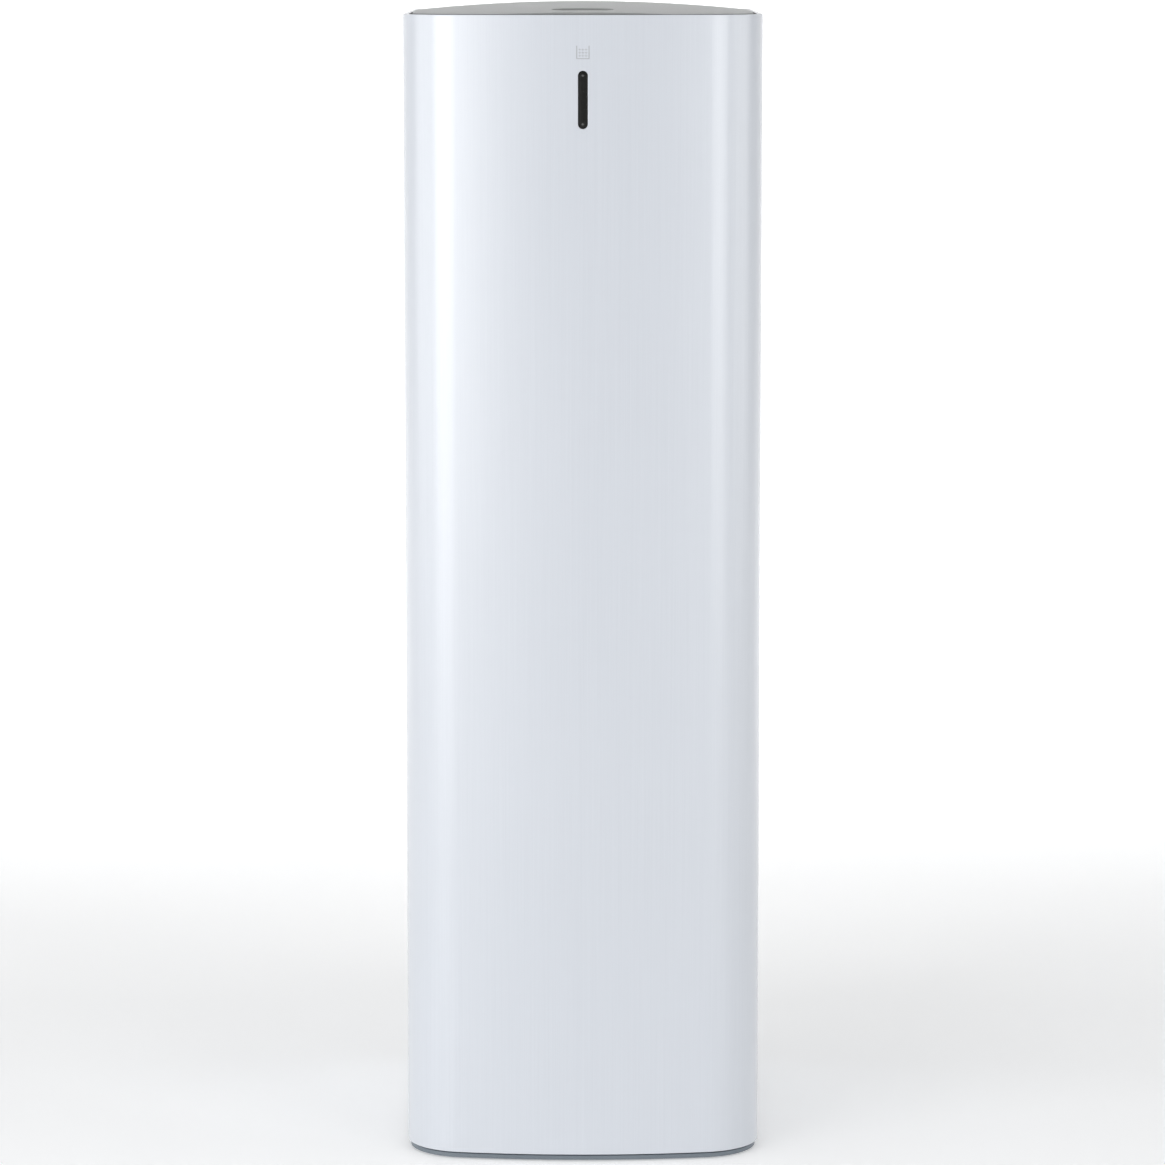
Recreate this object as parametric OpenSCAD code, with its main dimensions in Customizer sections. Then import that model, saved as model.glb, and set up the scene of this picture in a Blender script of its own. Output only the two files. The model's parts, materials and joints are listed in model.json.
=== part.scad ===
// Emptying station for a cordless vacuum cleaner's dustbin.
// +Z is up, the front faces -Y, and the origin is on the floor under the middle of the body.

/* [Body] */
// Width of the body
body_w = 184; // [182:1:188]
// Depth of the body
body_d = 252; // [250:1:256]
// Height of the shell's top rim above the floor
rim_z = 592; // [590:1:604]
// Radius of the four upright corners
corner_r = 33; // [30:1:35]
// Radius of the bowed front and back
front_r = 390; // [370:5:410]
// Wall of the outer shells
shell_t = 2.8; // [2.6:0.1:3]
// Where the front cover meets the rear body, measured from the middle
seam_y = -50; // [-54:1:-46]

/* [Lid] */
// Height of the lid's crown above the rim
crown = 5.4; // [5:0.1:6]
// Gap round the lid
lid_gap = 0.6; // [0.5:0.1:0.8]
// Length of the oval release button
button_w = 31; // [29:0.5:33]
// Depth of the oval release button
button_d = 13; // [12:0.5:14]

/* [Status light] */
// Height of the middle of the light bar
light_z = 549.4; // [545:0.1:552]
// Length of the light bar
light_h = 29.2; // [26:0.1:32]
// Width of the light bar
light_w = 4.9; // [4:0.1:6]

/* [Dock] */
// Bore that the dustbin drops into
well_r = 62; // [61:0.5:62.5]
// Where the bore's axis stands, measured from the middle
well_y = -14; // [-15:0.5:-13]

/* [Fan] */
// Number of impeller blades
blades = 11; // [9:1:13]
// Outer radius of the impeller
impeller_r = 46; // [44:0.5:46]

/* [Filters] */
// Number of pleats in the exhaust filter
pleats = 26; // [20:1:30]
// Number of exhaust slots
exhaust_slots = 10; // [8:1:10]

/* [Hidden] */
$fn = 64;

white = [0.93, 0.94, 0.96];
lid_grey = [0.69, 0.70, 0.70];
base_grey = [0.47, 0.51, 0.54];
frame_grey = [0.80, 0.81, 0.83];
dark_grey = [0.22, 0.23, 0.25];
rubber_black = [0.09, 0.09, 0.10];
steel = [0.72, 0.73, 0.75];
board_green = [0.10, 0.33, 0.20];

// Plan outline: two bowed faces, flat sides and four round corners, all tangent
corner_x = body_w / 2 - corner_r;
arc_y = front_r - body_d / 2;
corner_y = sqrt(pow(front_r - corner_r, 2) - pow(corner_x, 2)) - arc_y;
front_y = -body_d / 2;

// Levels
shell_z = 3.6;
plate_z = 0.5;
base_step_z = 2.8;
base_floor_z = 4;
boss_z = 18;
deck_z = rim_z - 17;
deck_t = 3;
deck_top = deck_z + deck_t;
lid_z = rim_z - 12;
liner_z = lid_z + 1;
liner_t = 2;

// Lid crown and hinge
lid_inset = shell_t + lid_gap;
lid_t = 2.2;
dome_rx = 850;
dome_ry = 1770;
crown_z = rim_z + crown;
hinge_y = 84;
hinge_z = rim_z - 5;
barrel_r = 7.8;
knuckle_x = 60;
knuckle_w = 10;
ear_w = 4;
pin_r = 1.6;
button_y = front_y + 25;
button_z = rim_z - 3.6;

// Dock
well_floor = rim_z - 108;
well_t = 2;
seal_top = well_floor + 3;
funnel_r = 50;
throat_r = 19;
duct_top = 404.6;
duct_w = 42.6;
duct_t = 2.2;
flap_pin_y = well_y + 18.6;
flap_pin_z = duct_top - 5;

// Bag chamber
chamber_x = 67;
chamber_t = 3;
chamber_front = -103.4;
chamber_back = 41;
chamber_floor = 151;
chamber_top = 356;
collar_z = chamber_top - 6.8;
collar_t = 3;
liner_face_y = chamber_front - 3.3;

// Fan, all round one upright axis
fan_y = -20;
fan_top = 144;
back_plate_z = 112;
shaft_r = 4;
can_r = 28.6;
housing_r = 57;

// Exhaust filter opening
exhaust_x = 62;
exhaust_z0 = 34;
exhaust_z1 = 132;

magnet_x = 50;
magnet_r = 5;
magnet_levels = [60, rim_z - 34];
frame_boss = [80, -60];
rear_boss = [82, 60];

// ---------- shared shapes ----------

module bowed_face(inset) {
    reach = 0.2;
    intersection() {
        translate([0, arc_y]) circle(r = front_r - inset, $fn = 256);
        polygon([[-corner_x, -corner_y], [corner_x, -corner_y],
            [corner_x * (1 + reach), -corner_y - (arc_y + corner_y) * reach],
            [-corner_x * (1 + reach), -corner_y - (arc_y + corner_y) * reach]]);
    }
}

module plan(inset = 0) {
    bowed_face(inset);
    mirror([0, 1]) bowed_face(inset);
    for (sx = [-1, 1], sy = [-1, 1])
        translate([sx * corner_x, sy * corner_y]) circle(r = corner_r - inset, $fn = 128);
    square([body_w - 2 * inset, 2 * corner_y], center = true);
}

module plan_slab(inset, z0, z1) {
    translate([0, 0, z0]) linear_extrude(z1 - z0) plan(inset);
}

module plan_ring(outer, inner, z0, z1) {
    translate([0, 0, z0]) linear_extrude(z1 - z0) difference() {
        plan(outer);
        plan(inner);
    }
}

module block(lo, hi) {
    translate(lo) cube(hi - lo);
}

module ring(r_out, r_in, z0, z1) {
    translate([0, 0, z0]) linear_extrude(z1 - z0) difference() {
        circle(r = r_out);
        circle(r = r_in);
    }
}

module rod_x(r, x0, x1, y, z) {
    translate([x0, y, z]) rotate([0, 90, 0]) cylinder(r = r, h = x1 - x0);
}

module rod_y(r, y0, y1, x, z) {
    translate([x, y1, z]) rotate([90, 0, 0]) cylinder(r = r, h = y1 - y0);
}

module rod_z(r, z0, z1, x, y) {
    translate([x, y, z0]) cylinder(r = r, h = z1 - z0);
}

// Slot with round ends, w across and h along, in the XY plane
module stadium(w, h) {
    square([w, h - w], center = true);
    for (s = [-1, 1]) translate([0, s * (h - w) / 2]) circle(d = w);
}

// The same slot standing upright and running along Y
module upright_slot(w, h, y0, y1, z) {
    translate([0, y1, z]) rotate([90, 0, 0]) linear_extrude(y1 - y0) stadium(w, h);
}

// Everything below the lid's crowned surface, lowered by drop
module under_crown(drop = 0) {
    translate([0, 0, crown_z - drop - dome_ry]) rotate([0, 90, 0]) rotate_extrude($fn = 256)
        translate([dome_ry - dome_rx, 0]) intersection() {
            circle(r = dome_rx, $fn = 256);
            translate([0, -body_w]) square([dome_rx, 2 * body_w]);
        }
}

// Rectangular ring standing upright, its opening facing along Y
module upright_frame(x, z0, z1, wall, y0, y1) {
    difference() {
        block([-x, y0, z0], [x, y1, z1]);
        block([-x + wall, y0 - 1, z0 + wall], [x - wall, y1 + 1, z1 - wall]);
    }
}

// A round wire or tube swept along points, as one closed polyhedron
function unit(v) = v / norm(v);
function heading(p, i) = unit(p[min(i + 1, len(p) - 1)] - p[max(i - 1, 0)]);
function side_of(t) = unit(cross(t, abs(t[2]) < 0.9 ? [0, 0, 1] : [0, 1, 0]));
function hoop(c, t, r, n) = let (u = side_of(t), v = cross(t, u))
    [for (k = [0:n - 1]) c + r * (u * cos(360 * k / n) + v * sin(360 * k / n))];
module sweep(p, r, n = 8) {
    last = len(p) - 1;
    points = [for (i = [0:last]) each hoop(p[i], heading(p, i), r, n)];
    sides = [for (i = [0:last - 1], k = [0:n - 1])
        [i * n + k, i * n + (k + 1) % n, (i + 1) * n + (k + 1) % n, (i + 1) * n + k]];
    first_cap = [for (k = [0:n - 1]) n - 1 - k];
    last_cap = [for (k = [0:n - 1]) last * n + k];
    polyhedron(points, concat(sides, [first_cap, last_cap]));
}

// Points along a coil standing on z0
function coil(r, z0, z1, turns, steps = 10) =
    [for (i = [0:turns * steps]) let (a = 360 * i / steps)
        [r * cos(a), r * sin(a), z0 + (z1 - z0) * i / (turns * steps)]];

// A tapped boss, solid apart from its pilot hole
module boss(r, hole_r, z0, z1, x, y) {
    difference() {
        rod_z(r, z0, z1, x, y);
        rod_z(hole_r, z0 - 1, z1 + 1, x, y);
    }
}

// ---------- outer shells ----------

module front_cover() color(white) {
    seam_gap = 0.2;
    post_r = 7;
    post_end = -118;
    tab_x = [26, 54];
    difference() {
        union() {
            plan_ring(0, shell_t, shell_z, rim_z);
            intersection() {
                plan_slab(shell_t / 2, shell_z, rim_z);
                union() {
                    for (s = [-1, 1], z = magnet_levels)
                        rod_y(post_r, front_y, post_end, s * magnet_x, z);
                    for (s = [0, 1]) mirror([s, 0, 0])
                        block([tab_x[0], front_y, 8], [tab_x[1], -113, 10]);
                }
            }
        }
        block([-body_w, seam_y - seam_gap, 0], [body_w, body_d, rim_z + 1]);
        upright_slot(light_w, light_h, front_y - 1, front_y + 8, light_z);
    }
}

module rear_body() color(white) {
    seam_gap = 0.2;
    reveal = 0.5;
    vent_count = 8;
    vent_pitch = 6;
    vent_h = 2.6;
    difference() {
        union() {
            plan_ring(0, shell_t, shell_z, rim_z);
            intersection() {
                plan_slab(shell_t / 2, 0, rim_z);
                for (s = [-1, 1], z = [boss_z, deck_z - 16])
                    rod_z(7.5, z, z + 16, s * rear_boss[0], rear_boss[1]);
            }
        }
        block([-body_w, -body_d, 0], [body_w, seam_y + seam_gap, rim_z + 1]);
        block([-exhaust_x - reveal, 100, exhaust_z0 - reveal], [exhaust_x + reveal, body_d, exhaust_z1 + reveal]);
        block([-46, 100, 500], [46, body_d, 534]);
        rod_y(8.1, 100, body_d, 0, boss_z);
        for (s = [-1, 1], z = [boss_z, deck_z - 16])
            rod_z(2, z - 1, z + 17, s * rear_boss[0], rear_boss[1]);
        for (i = [0:vent_count - 1]) translate([0, 0, 236 + i * vent_pitch])
            block([-30, 100, 0], [30, body_d, vent_h]);
    }
    // Grip pocket, its roof hollowed upward for the fingertips
    pocket_x = 45.9;
    pocket_y = 96;
    wall = 2.2;
    difference() {
        intersection() {
            plan_slab(0, 480, 560);
            block([-46.5, pocket_y, 497.8], [46.5, body_d, 548]);
        }
        block([-pocket_x + wall, pocket_y + wall, 500], [pocket_x - wall, body_d, 534]);
        block([-pocket_x + wall, pocket_y + wall, 500], [pocket_x - wall, 114, 545.8]);
    }
}

module base() color(base_grey) {
    edge = 1.4;
    neck = 3.2;
    neck_t = 2.2;
    ring_top = 16;
    difference() {
        union() {
            plan_slab(edge, plate_z, base_step_z);
            plan_slab(neck, base_step_z, base_floor_z);
            plan_ring(neck, neck + neck_t, base_floor_z, ring_top);
            for (s = [-1, 1]) {
                rod_z(5.2, base_floor_z, boss_z, s * frame_boss[0], frame_boss[1]);
                rod_z(5.2, base_floor_z, boss_z, s * rear_boss[0], rear_boss[1]);
            }
            for (a = [45:90:315])
                rod_z(8, base_floor_z, 24, 44 * cos(a), fan_y + 44 * sin(a));
            for (y = [-70, 60]) block([-60, y, base_floor_z], [60, y + 2.4, 12]);
        }
        for (s = [-1, 1]) {
            for (b = [frame_boss, rear_boss]) {
                rod_z(2.2, 0, boss_z + 1, s * b[0], b[1]);
                rod_z(4.2, 0, 3.2, s * b[0], b[1]);
            }
            for (y = [-92, 92]) rod_z(9.1, 0, 1.8, s * 60, y);
        }
        for (s = [0, 1]) mirror([s, 0, 0]) block([25, -body_d / 2, 7.4], [55, -110, 10.6]);
        rod_y(8.3, 100, body_d, 0, boss_z);
    }
}

module rubber_feet() color(rubber_black) {
    for (sx = [-1, 1], sy = [-1, 1]) translate([sx * 60, sy * 92, 0]) rotate_extrude()
        polygon([[0, 0], [8.2, 0], [9, 0.5], [9, 1.8], [0, 1.8]]);
}

module front_frame() color(frame_grey) {
    outer = 4.2;
    inner = 6.4;
    top = deck_z - 0.4;
    tunnel_x = 77;
    tunnel_z = [132, 374];
    tunnel_t = 2;
    tunnel_back = -98;
    board_w = 12;
    difference() {
        union() {
            plan_ring(outer, inner, boss_z, top);
            intersection() {
                plan_slab(outer, boss_z, top);
                union() {
                    upright_frame(tunnel_x, tunnel_z[0], tunnel_z[1], tunnel_t, front_y, tunnel_back);
                    for (s = [-1, 1], z = [boss_z, top - 16])
                        rod_z(7, z, z + 16, s * frame_boss[0], frame_boss[1]);
                }
            }
        }
        block([-body_w, -38, 0], [body_w, body_d, rim_z]);
        block([-tunnel_x + tunnel_t, -body_d, tunnel_z[0] + tunnel_t],
            [tunnel_x - tunnel_t, tunnel_back - 1, tunnel_z[1] - tunnel_t]);
        upright_slot(board_w, 44, front_y, -100, light_z);
        for (s = [-1, 1]) {
            for (z = magnet_levels) rod_y(7.8, front_y, -110, s * magnet_x, z);
            for (z = [boss_z, top - 16]) rod_z(2, z - 1, z + 17, s * frame_boss[0], frame_boss[1]);
        }
        for (s = [0, 1]) mirror([s, 0, 0]) block([25, -body_d / 2, 0], [55, -110, 21]);
    }
}

// ---------- top and lid ----------

module top_deck() color(frame_grey) {
    edge = 3.2;
    difference() {
        union() {
            plan_slab(edge, deck_z, deck_top);
            for (s = [-1, 1]) {
                x0 = s * knuckle_x - knuckle_w / 2;
                block([x0, hinge_y - 3, deck_top - 1], [x0 + knuckle_w, hinge_y + 3, hinge_z]);
                rod_x(4, x0, x0 + knuckle_w, hinge_y, hinge_z);
            }
        }
        translate([0, well_y, 0]) rod_z(well_r + well_t + 0.3, deck_z - 1, deck_top + 1, 0, 0);
        block([-9, front_y + 5.8, deck_z - 1], [9, front_y + 16, deck_top + 1]);
        for (s = [-1, 1]) {
            rod_x(pin_r, s * knuckle_x - knuckle_w, s * knuckle_x + knuckle_w, hinge_y, hinge_z);
            for (b = [frame_boss, rear_boss]) rod_z(2.2, deck_z - 1, deck_top + 1, s * b[0], b[1]);
        }
    }
}

module rear_strip() color(lid_grey) {
    gap = 0.9;
    wall = 2.2;
    strip_y = hinge_y + barrel_r + gap;
    difference() {
        intersection() {
            plan_slab(lid_inset, deck_top, crown_z + 1);
            under_crown();
            block([-body_w, strip_y, 0], [body_w, body_d, crown_z + 1]);
        }
        intersection() {
            plan_slab(lid_inset + wall, deck_top - 1, crown_z + 1);
            under_crown(wall);
            block([-body_w, strip_y + wall, 0], [body_w, body_d, crown_z + 1]);
        }
    }
}

// The lid's body in plan and section, before it is hollowed
module lid_solid(inset, drop, barrel) {
    intersection() {
        plan_slab(inset, lid_z - (drop > 0 ? 1 : 0), crown_z + 1);
        under_crown(drop);
        union() {
            block([-body_w, -body_d, lid_z - 2], [body_w, hinge_y, crown_z + 1]);
            rod_x(barrel, -body_w, body_w, hinge_y, hinge_z);
        }
    }
}

module lid() color(lid_grey) {
    post_r = 3.2;
    difference() {
        union() {
            difference() {
                lid_solid(lid_inset, 0, barrel_r);
                lid_solid(lid_inset + lid_t, lid_t, barrel_r - lid_t);
            }
            intersection() {
                lid_solid(lid_inset, 0, barrel_r);
                union() {
                    for (s = [-1, 1], side = [-1, 1])
                        rod_x(5.7, s * knuckle_x + side * (knuckle_w / 2 + 2.4) - ear_w / 2,
                            s * knuckle_x + side * (knuckle_w / 2 + 2.4) + ear_w / 2, hinge_y, hinge_z);
                    for (p = liner_posts) rod_z(post_r, liner_z + liner_t, crown_z, p[0], p[1]);
                }
            }
        }
        for (s = [-1, 1]) {
            rod_x(pin_r + 0.06, s * knuckle_x - 12, s * knuckle_x + 12, hinge_y, hinge_z);
            x0 = s * knuckle_x - knuckle_w / 2 - 0.3;
            block([x0, hinge_y - 8, lid_z - 2], [x0 + knuckle_w + 0.6, hinge_y + 12, hinge_z + 4.4]);
        }
        for (p = liner_posts) rod_z(1.25, liner_z, liner_z + 8, p[0], p[1]);
        translate([0, button_y, liner_z + 4]) linear_extrude(20) rotate(90) stadium(button_d + 0.6, button_w + 0.6);
    }
}
liner_posts = [[-66, -82], [66, -82], [-70, 56], [70, 56]];

module lid_liner() color(frame_grey) {
    difference() {
        plan_slab(lid_inset + lid_t + 0.3, liner_z, liner_z + liner_t);
        block([-body_w, hinge_y - 8, 0], [body_w, body_d, rim_z]);
        block([-9, front_y + 5.8, 0], [9, front_y + 17, rim_z]);
        for (p = liner_posts) rod_z(1.6, 0, rim_z, p[0], p[1]);
        translate([0, well_y, liner_z - 1]) ring(48, 46, 0, 1.8);
    }
    block([-4, button_y + 24.9, liner_z + 1], [4, button_y + 26.5, liner_z + 7]);
}

module lid_seal() color(rubber_black) {
    translate([0, well_y, 0]) rotate_extrude($fn = 128)
        polygon([[63.6, liner_z], [67.8, liner_z], [67.8, liner_z - 1], [66.8, liner_z - 1.8],
            [64.6, liner_z - 1.8], [63.6, liner_z - 1]]);
}

module lid_button() color(lid_grey) {
    dish_r = 150;
    stem_x = 3;
    difference() {
        intersection() {
            translate([0, button_y, button_z]) linear_extrude(12) rotate(90) stadium(button_d, button_w);
            under_crown(0.35);
        }
        translate([0, button_y, crown_z - 4.05 + dish_r]) sphere(r = dish_r, $fn = 200);
    }
    // Wedge that drives the latch back as the button goes down
    translate([-stem_x, button_y, button_z]) rotate([90, 0, 90]) linear_extrude(2 * stem_x)
        polygon([[-3, 0.6], [3, 0.6], [3, -0.2], [0.2, -3], [-3, -3]]);
}

module lid_latch() color(dark_grey) {
    z0 = liner_z + liner_t + 0.2;
    z1 = button_z - 2;
    ramp_gap = 0.25;
    half = 8;
    hook_y = front_y + 9;
    difference() {
        block([-half, hook_y, z0], [half, button_y + 14, z1]);
        // Slot for the wedge, its back wall at 45 degrees
        translate([-3.4, button_y, button_z]) rotate([90, 0, 90]) linear_extrude(6.8)
            polygon([[-5.6, 2], [3 + ramp_gap + 2.2, 2], [3 + ramp_gap, -0.2], [-3.4 + ramp_gap, -6.6], [-5.6, -6.6]]);
    }
    block([-half, hook_y, deck_z - 4], [half, hook_y + 2.6, z0 + 1]);
    block([-half, hook_y - 1.6, deck_z - 4], [half, hook_y + 0.5, deck_z - 0.6]);
}

module button_springs() color(steel) {
    for (s = [-1, 1]) translate([s * 11.6, button_y, 0])
        sweep(coil(1.9, liner_z + liner_t + 0.3, button_z - 0.3, 4), 0.28, 6);
}

module latch_spring() color(steel) {
    translate([0, button_y + 14.4, liner_z + 4]) rotate([-90, 0, 0])
        sweep(coil(1.5, 0.2, 10, 5), 0.25, 6);
}

module hinge_pins() color(steel) {
    for (s = [0, 1]) mirror([s, 0, 0]) rod_x(pin_r, 40, 70, hinge_y, hinge_z);
}

module hinge_springs() color(steel) {
    turns = 6;
    for (s = [0, 1]) mirror([s, 0, 0]) for (i = [0:turns - 1])
        translate([42 + i * 1.15, hinge_y, hinge_z]) rotate([0, 90, 0]) rotate_extrude()
            translate([2.5, 0]) circle(r = 0.5, $fn = 16);
}

// ---------- status light ----------

module light_guide() color([0.10, 0.11, 0.11]) {
    face = front_y + 0.25;
    upright_slot(light_w - 0.2, light_h - 0.2, face, front_y + 4, light_z);
    upright_slot(light_w + 4, light_h + 4, front_y + shell_t + 0.1, front_y + 4.6, light_z);
}

module light_board() color(board_green) {
    board_y = front_y + 7;
    block([-5.5, board_y, light_z - 20], [5.5, board_y + 1.6, light_z + 20]);
    for (i = [-4:4]) block([-1.6, board_y - 1, light_z + i * 3.2 - 1], [1.6, board_y, light_z + i * 3.2 + 1]);
    block([-4, board_y + 1.6, light_z - 19], [4, board_y + 6, light_z - 12]);
}

// ---------- front cover's inner parts ----------

module cover_liner() color(frame_grey) {
    half = 72;
    z0 = chamber_floor - 11;
    z1 = chamber_top + 10;
    wall = 2.4;
    difference() {
        intersection() {
            plan_slab(shell_t + 0.1, z0, z1);
            block([-half, -body_d, z0], [half, liner_face_y, z1]);
        }
        block([-half + wall, -body_d, z0 + wall], [half - wall, liner_face_y - wall, z1 - wall]);
    }
}

module cover_magnets() color(steel) {
    for (s = [-1, 1], z = magnet_levels) rod_y(magnet_r, -118, -115, s * magnet_x, z);
}

module strike_plates() color(steel) {
    for (s = [-1, 1], z = magnet_levels) translate([s * magnet_x, 0, z])
        block([-9, -114.6, -9], [9, -113.4, 9]);
}

// ---------- dock ----------

module docking_well() color(dark_grey) {
    step_z = seal_top + 0.5;
    flange_r = well_r + 6;
    flange_t = 1;
    difference() {
        translate([0, well_y, 0]) rotate_extrude($fn = 128) polygon([
            [funnel_r, well_floor - 3], [well_r + well_t, well_floor - 3], [well_r + well_t, deck_top],
            [flange_r, deck_top], [flange_r, deck_top + flange_t], [well_r, deck_top + flange_t],
            [well_r, step_z], [well_r - 0.6, step_z], [well_r - 0.6, well_floor], [funnel_r, well_floor]]);
        rod_z(1.8, well_floor - 4, well_floor + 1, 0, well_y + well_r - 3.2);
    }
}

module dock_seal() color(rubber_black) {
    translate([0, well_y, 0]) rotate_extrude($fn = 128) polygon([
        [50.6, well_floor], [56.4, well_floor], [56.4, seal_top - 1.2], [55, seal_top],
        [52, seal_top], [50.6, seal_top - 1.2]]);
}

module dock_switch() color(dark_grey) {
    y = well_y + well_r - 3.2;
    top = well_floor - 3;
    difference() {
        block([-9, y - 3.4, top - 11], [9, y + 3.4, top]);
        rod_z(1.8, top - 6, top + 1, 0, y);
    }
    for (x = [-6, 0, 6]) block([x - 1, y - 0.4, top - 16], [x + 1, y + 0.4, top - 11]);
}

module switch_plunger() color([0.75, 0.2, 0.15]) {
    rod_z(1.6, well_floor - 6, seal_top + 0.2, 0, well_y + well_r - 3.2);
}

module hopper() color(dark_grey) {
    wall = 2.2;
    top = well_floor - 3;
    translate([0, well_y, 0]) rotate_extrude($fn = 128) polygon([
        [throat_r, duct_top], [throat_r + wall, duct_top], [throat_r + wall, duct_top + 2],
        [funnel_r + wall, top - 2.4], [funnel_r + 4.6, top - 2.4], [funnel_r + 4.6, top],
        [funnel_r, top], [throat_r, duct_top + 3]]);
}

module inlet_duct() color(dark_grey) {
    half = duct_w / 2;
    bottom = chamber_top + chamber_t;
    difference() {
        translate([0, well_y, 0]) union() {
            block([-half - duct_t, -half - duct_t, bottom], [half + duct_t, half + duct_t, duct_top]);
            block([-half - 8, -half - 8, bottom], [half + 8, half + 8, bottom + 2]);
        }
        translate([0, well_y, 0]) {
            block([-half, -half, bottom - 1], [half, half, duct_top - 2.4]);
            rod_z(throat_r, duct_top - 5, duct_top + 1, 0, 0);
        }
        rod_x(0.9, -half - 5, half + 5, flap_pin_y, flap_pin_z);
    }
}

module inlet_flap() color([0.35, 0.37, 0.40]) {
    barrel_half = 15;
    difference() {
        union() {
            block([-20.2, well_y - 19.6, flap_pin_z + 0.6], [20.2, flap_pin_y, flap_pin_z + 2.2]);
            rod_x(2.2, -barrel_half, barrel_half, flap_pin_y, flap_pin_z);
        }
        rod_x(0.95, -30, 30, flap_pin_y, flap_pin_z);
        for (s = [0, 1]) mirror([s, 0, 0])
            block([barrel_half, flap_pin_y - 3.2, flap_pin_z - 3], [22, flap_pin_y + 3, flap_pin_z + 3]);
    }
    for (x = [-8, 8]) block([x - 0.8, well_y - 16, flap_pin_z - 0.8], [x + 0.8, flap_pin_y - 4, flap_pin_z + 0.6]);
}

module flap_pin() color(steel) {
    rod_x(0.9, -duct_w / 2 - duct_t, duct_w / 2 + duct_t, flap_pin_y, flap_pin_z);
}

module flap_springs() color(steel) {
    for (s = [0, 1]) mirror([s, 0, 0]) for (i = [0:4])
        translate([16 + i * 0.85, flap_pin_y, flap_pin_z]) rotate([0, 90, 0]) rotate_extrude($fn = 32)
            translate([1.45, 0]) circle(r = 0.35, $fn = 13);
}

module nozzle_seal() color(rubber_black) {
    translate([0, well_y, 0]) rotate_extrude() polygon([
        [20.5, chamber_top], [28, chamber_top], [28, chamber_top - 2], [24, chamber_top - 3.5],
        [21.5, chamber_top - 3.5], [20.5, chamber_top - 2]]);
}

// ---------- dust bag and its chamber ----------

module bag_chamber() color(frame_grey) {
    outer_x = chamber_x + chamber_t;
    z0 = chamber_floor - chamber_t;
    z1 = chamber_top + chamber_t;
    flange = 4;
    difference() {
        union() {
            block([-outer_x, chamber_front, z0], [outer_x, chamber_back + chamber_t, z1]);
            block([-outer_x - flange, chamber_front, z0 - flange], [outer_x + flange, chamber_front + 2.4, z1 + flange]);
        }
        block([-chamber_x, chamber_front - 1, chamber_floor], [chamber_x, chamber_back, chamber_top]);
        rod_z(20, chamber_top - 1, z1 + 1, 0, well_y);
        rod_z(44, z0 - 1, chamber_floor + 1, 0, fan_y);
    }
}

module chamber_seal() color(rubber_black) {
    wall = 5;
    upright_frame(chamber_x + 6.4, chamber_floor - 6.4, chamber_top + 6.4, wall, chamber_front - 3, chamber_front);
}

module bag_rails() color(dark_grey) {
    ledge_x = 51;
    for (s = [0, 1]) mirror([s, 0, 0]) {
        block([ledge_x, chamber_front + 6, collar_z - 3.2], [chamber_x, chamber_back, collar_z - 0.4]);
        block([59, chamber_front + 6, collar_z - 0.6], [chamber_x, chamber_back, chamber_top]);
    }
}

module bag_collar() color([0.28, 0.42, 0.62]) {
    half = 58;
    front = chamber_front + 8;
    back = 30;
    r = 6;
    difference() {
        union() {
            for (x = [-half + r, half - r], y = [front + r, back - r]) rod_z(r, collar_z, collar_z + collar_t, x, y);
            block([-half + r, front, collar_z], [half - r, back, collar_z + collar_t]);
            block([-half, front + r, collar_z], [half, back - r, collar_z + collar_t]);
            block([-16, front, collar_z - 14], [16, front + 2.4, collar_z + 1]);
        }
        rod_z(20, collar_z - 1, collar_z + collar_t + 1, 0, well_y);
    }
}

module bag_membrane() color(rubber_black) {
    translate([0, well_y, 0]) ring(23, 15, collar_z - 0.8, collar_z);
}

module dust_bag() color([0.86, 0.85, 0.81]) {
    neck_z = collar_z - 14;
    r = 15;
    hull() for (x = [-47, 47], y = [-76, 18], z = [172 + r, neck_z - r])
        translate([x, y, z]) sphere(r = r, $fn = 20);
    hull() {
        translate([0, -29, collar_z - 1.8]) linear_extrude(1) square([92, 106], center = true);
        translate([0, -29, neck_z - 12]) linear_extrude(1) square([100, 112], center = true);
    }
}

module filter_grid() color(dark_grey) {
    z0 = chamber_floor + 0.2;
    difference() {
        block([-56, -80, z0], [56, 36, z0 + 12]);
        block([-52, -76, z0 + 2], [52, 32, z0 + 13]);
        for (ix = [0:6], iy = [0:7]) translate([-51 + ix * 14.6, -75 + iy * 13.3, z0 - 1])
            block([0, 0, 0], [12.4, 11.3, 4]);
    }
}

module foam_filter() color([0.20, 0.30, 0.45]) {
    z0 = chamber_floor + 2.4;
    block([-51.7, -75.7, z0], [51.7, 31.7, z0 + 9.2]);
}

// ---------- fan ----------

module about_fan() translate([0, fan_y, 0]) children();

module fan_gasket() color(rubber_black) about_fan() ring(52, 45, fan_top, chamber_floor - chamber_t);

module fan_shroud() color(dark_grey) about_fan() rotate_extrude($fn = 128) polygon([
    [22, 133.4], [23.6, 133.4], [24.4, 138], [26, 140.4], [29, 141.8], [51.6, 141.8], [51.6, 108], [54, 108],
    [54, fan_top], [26.8, fan_top], [23.4, 142], [22.2, 139]]);

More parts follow.
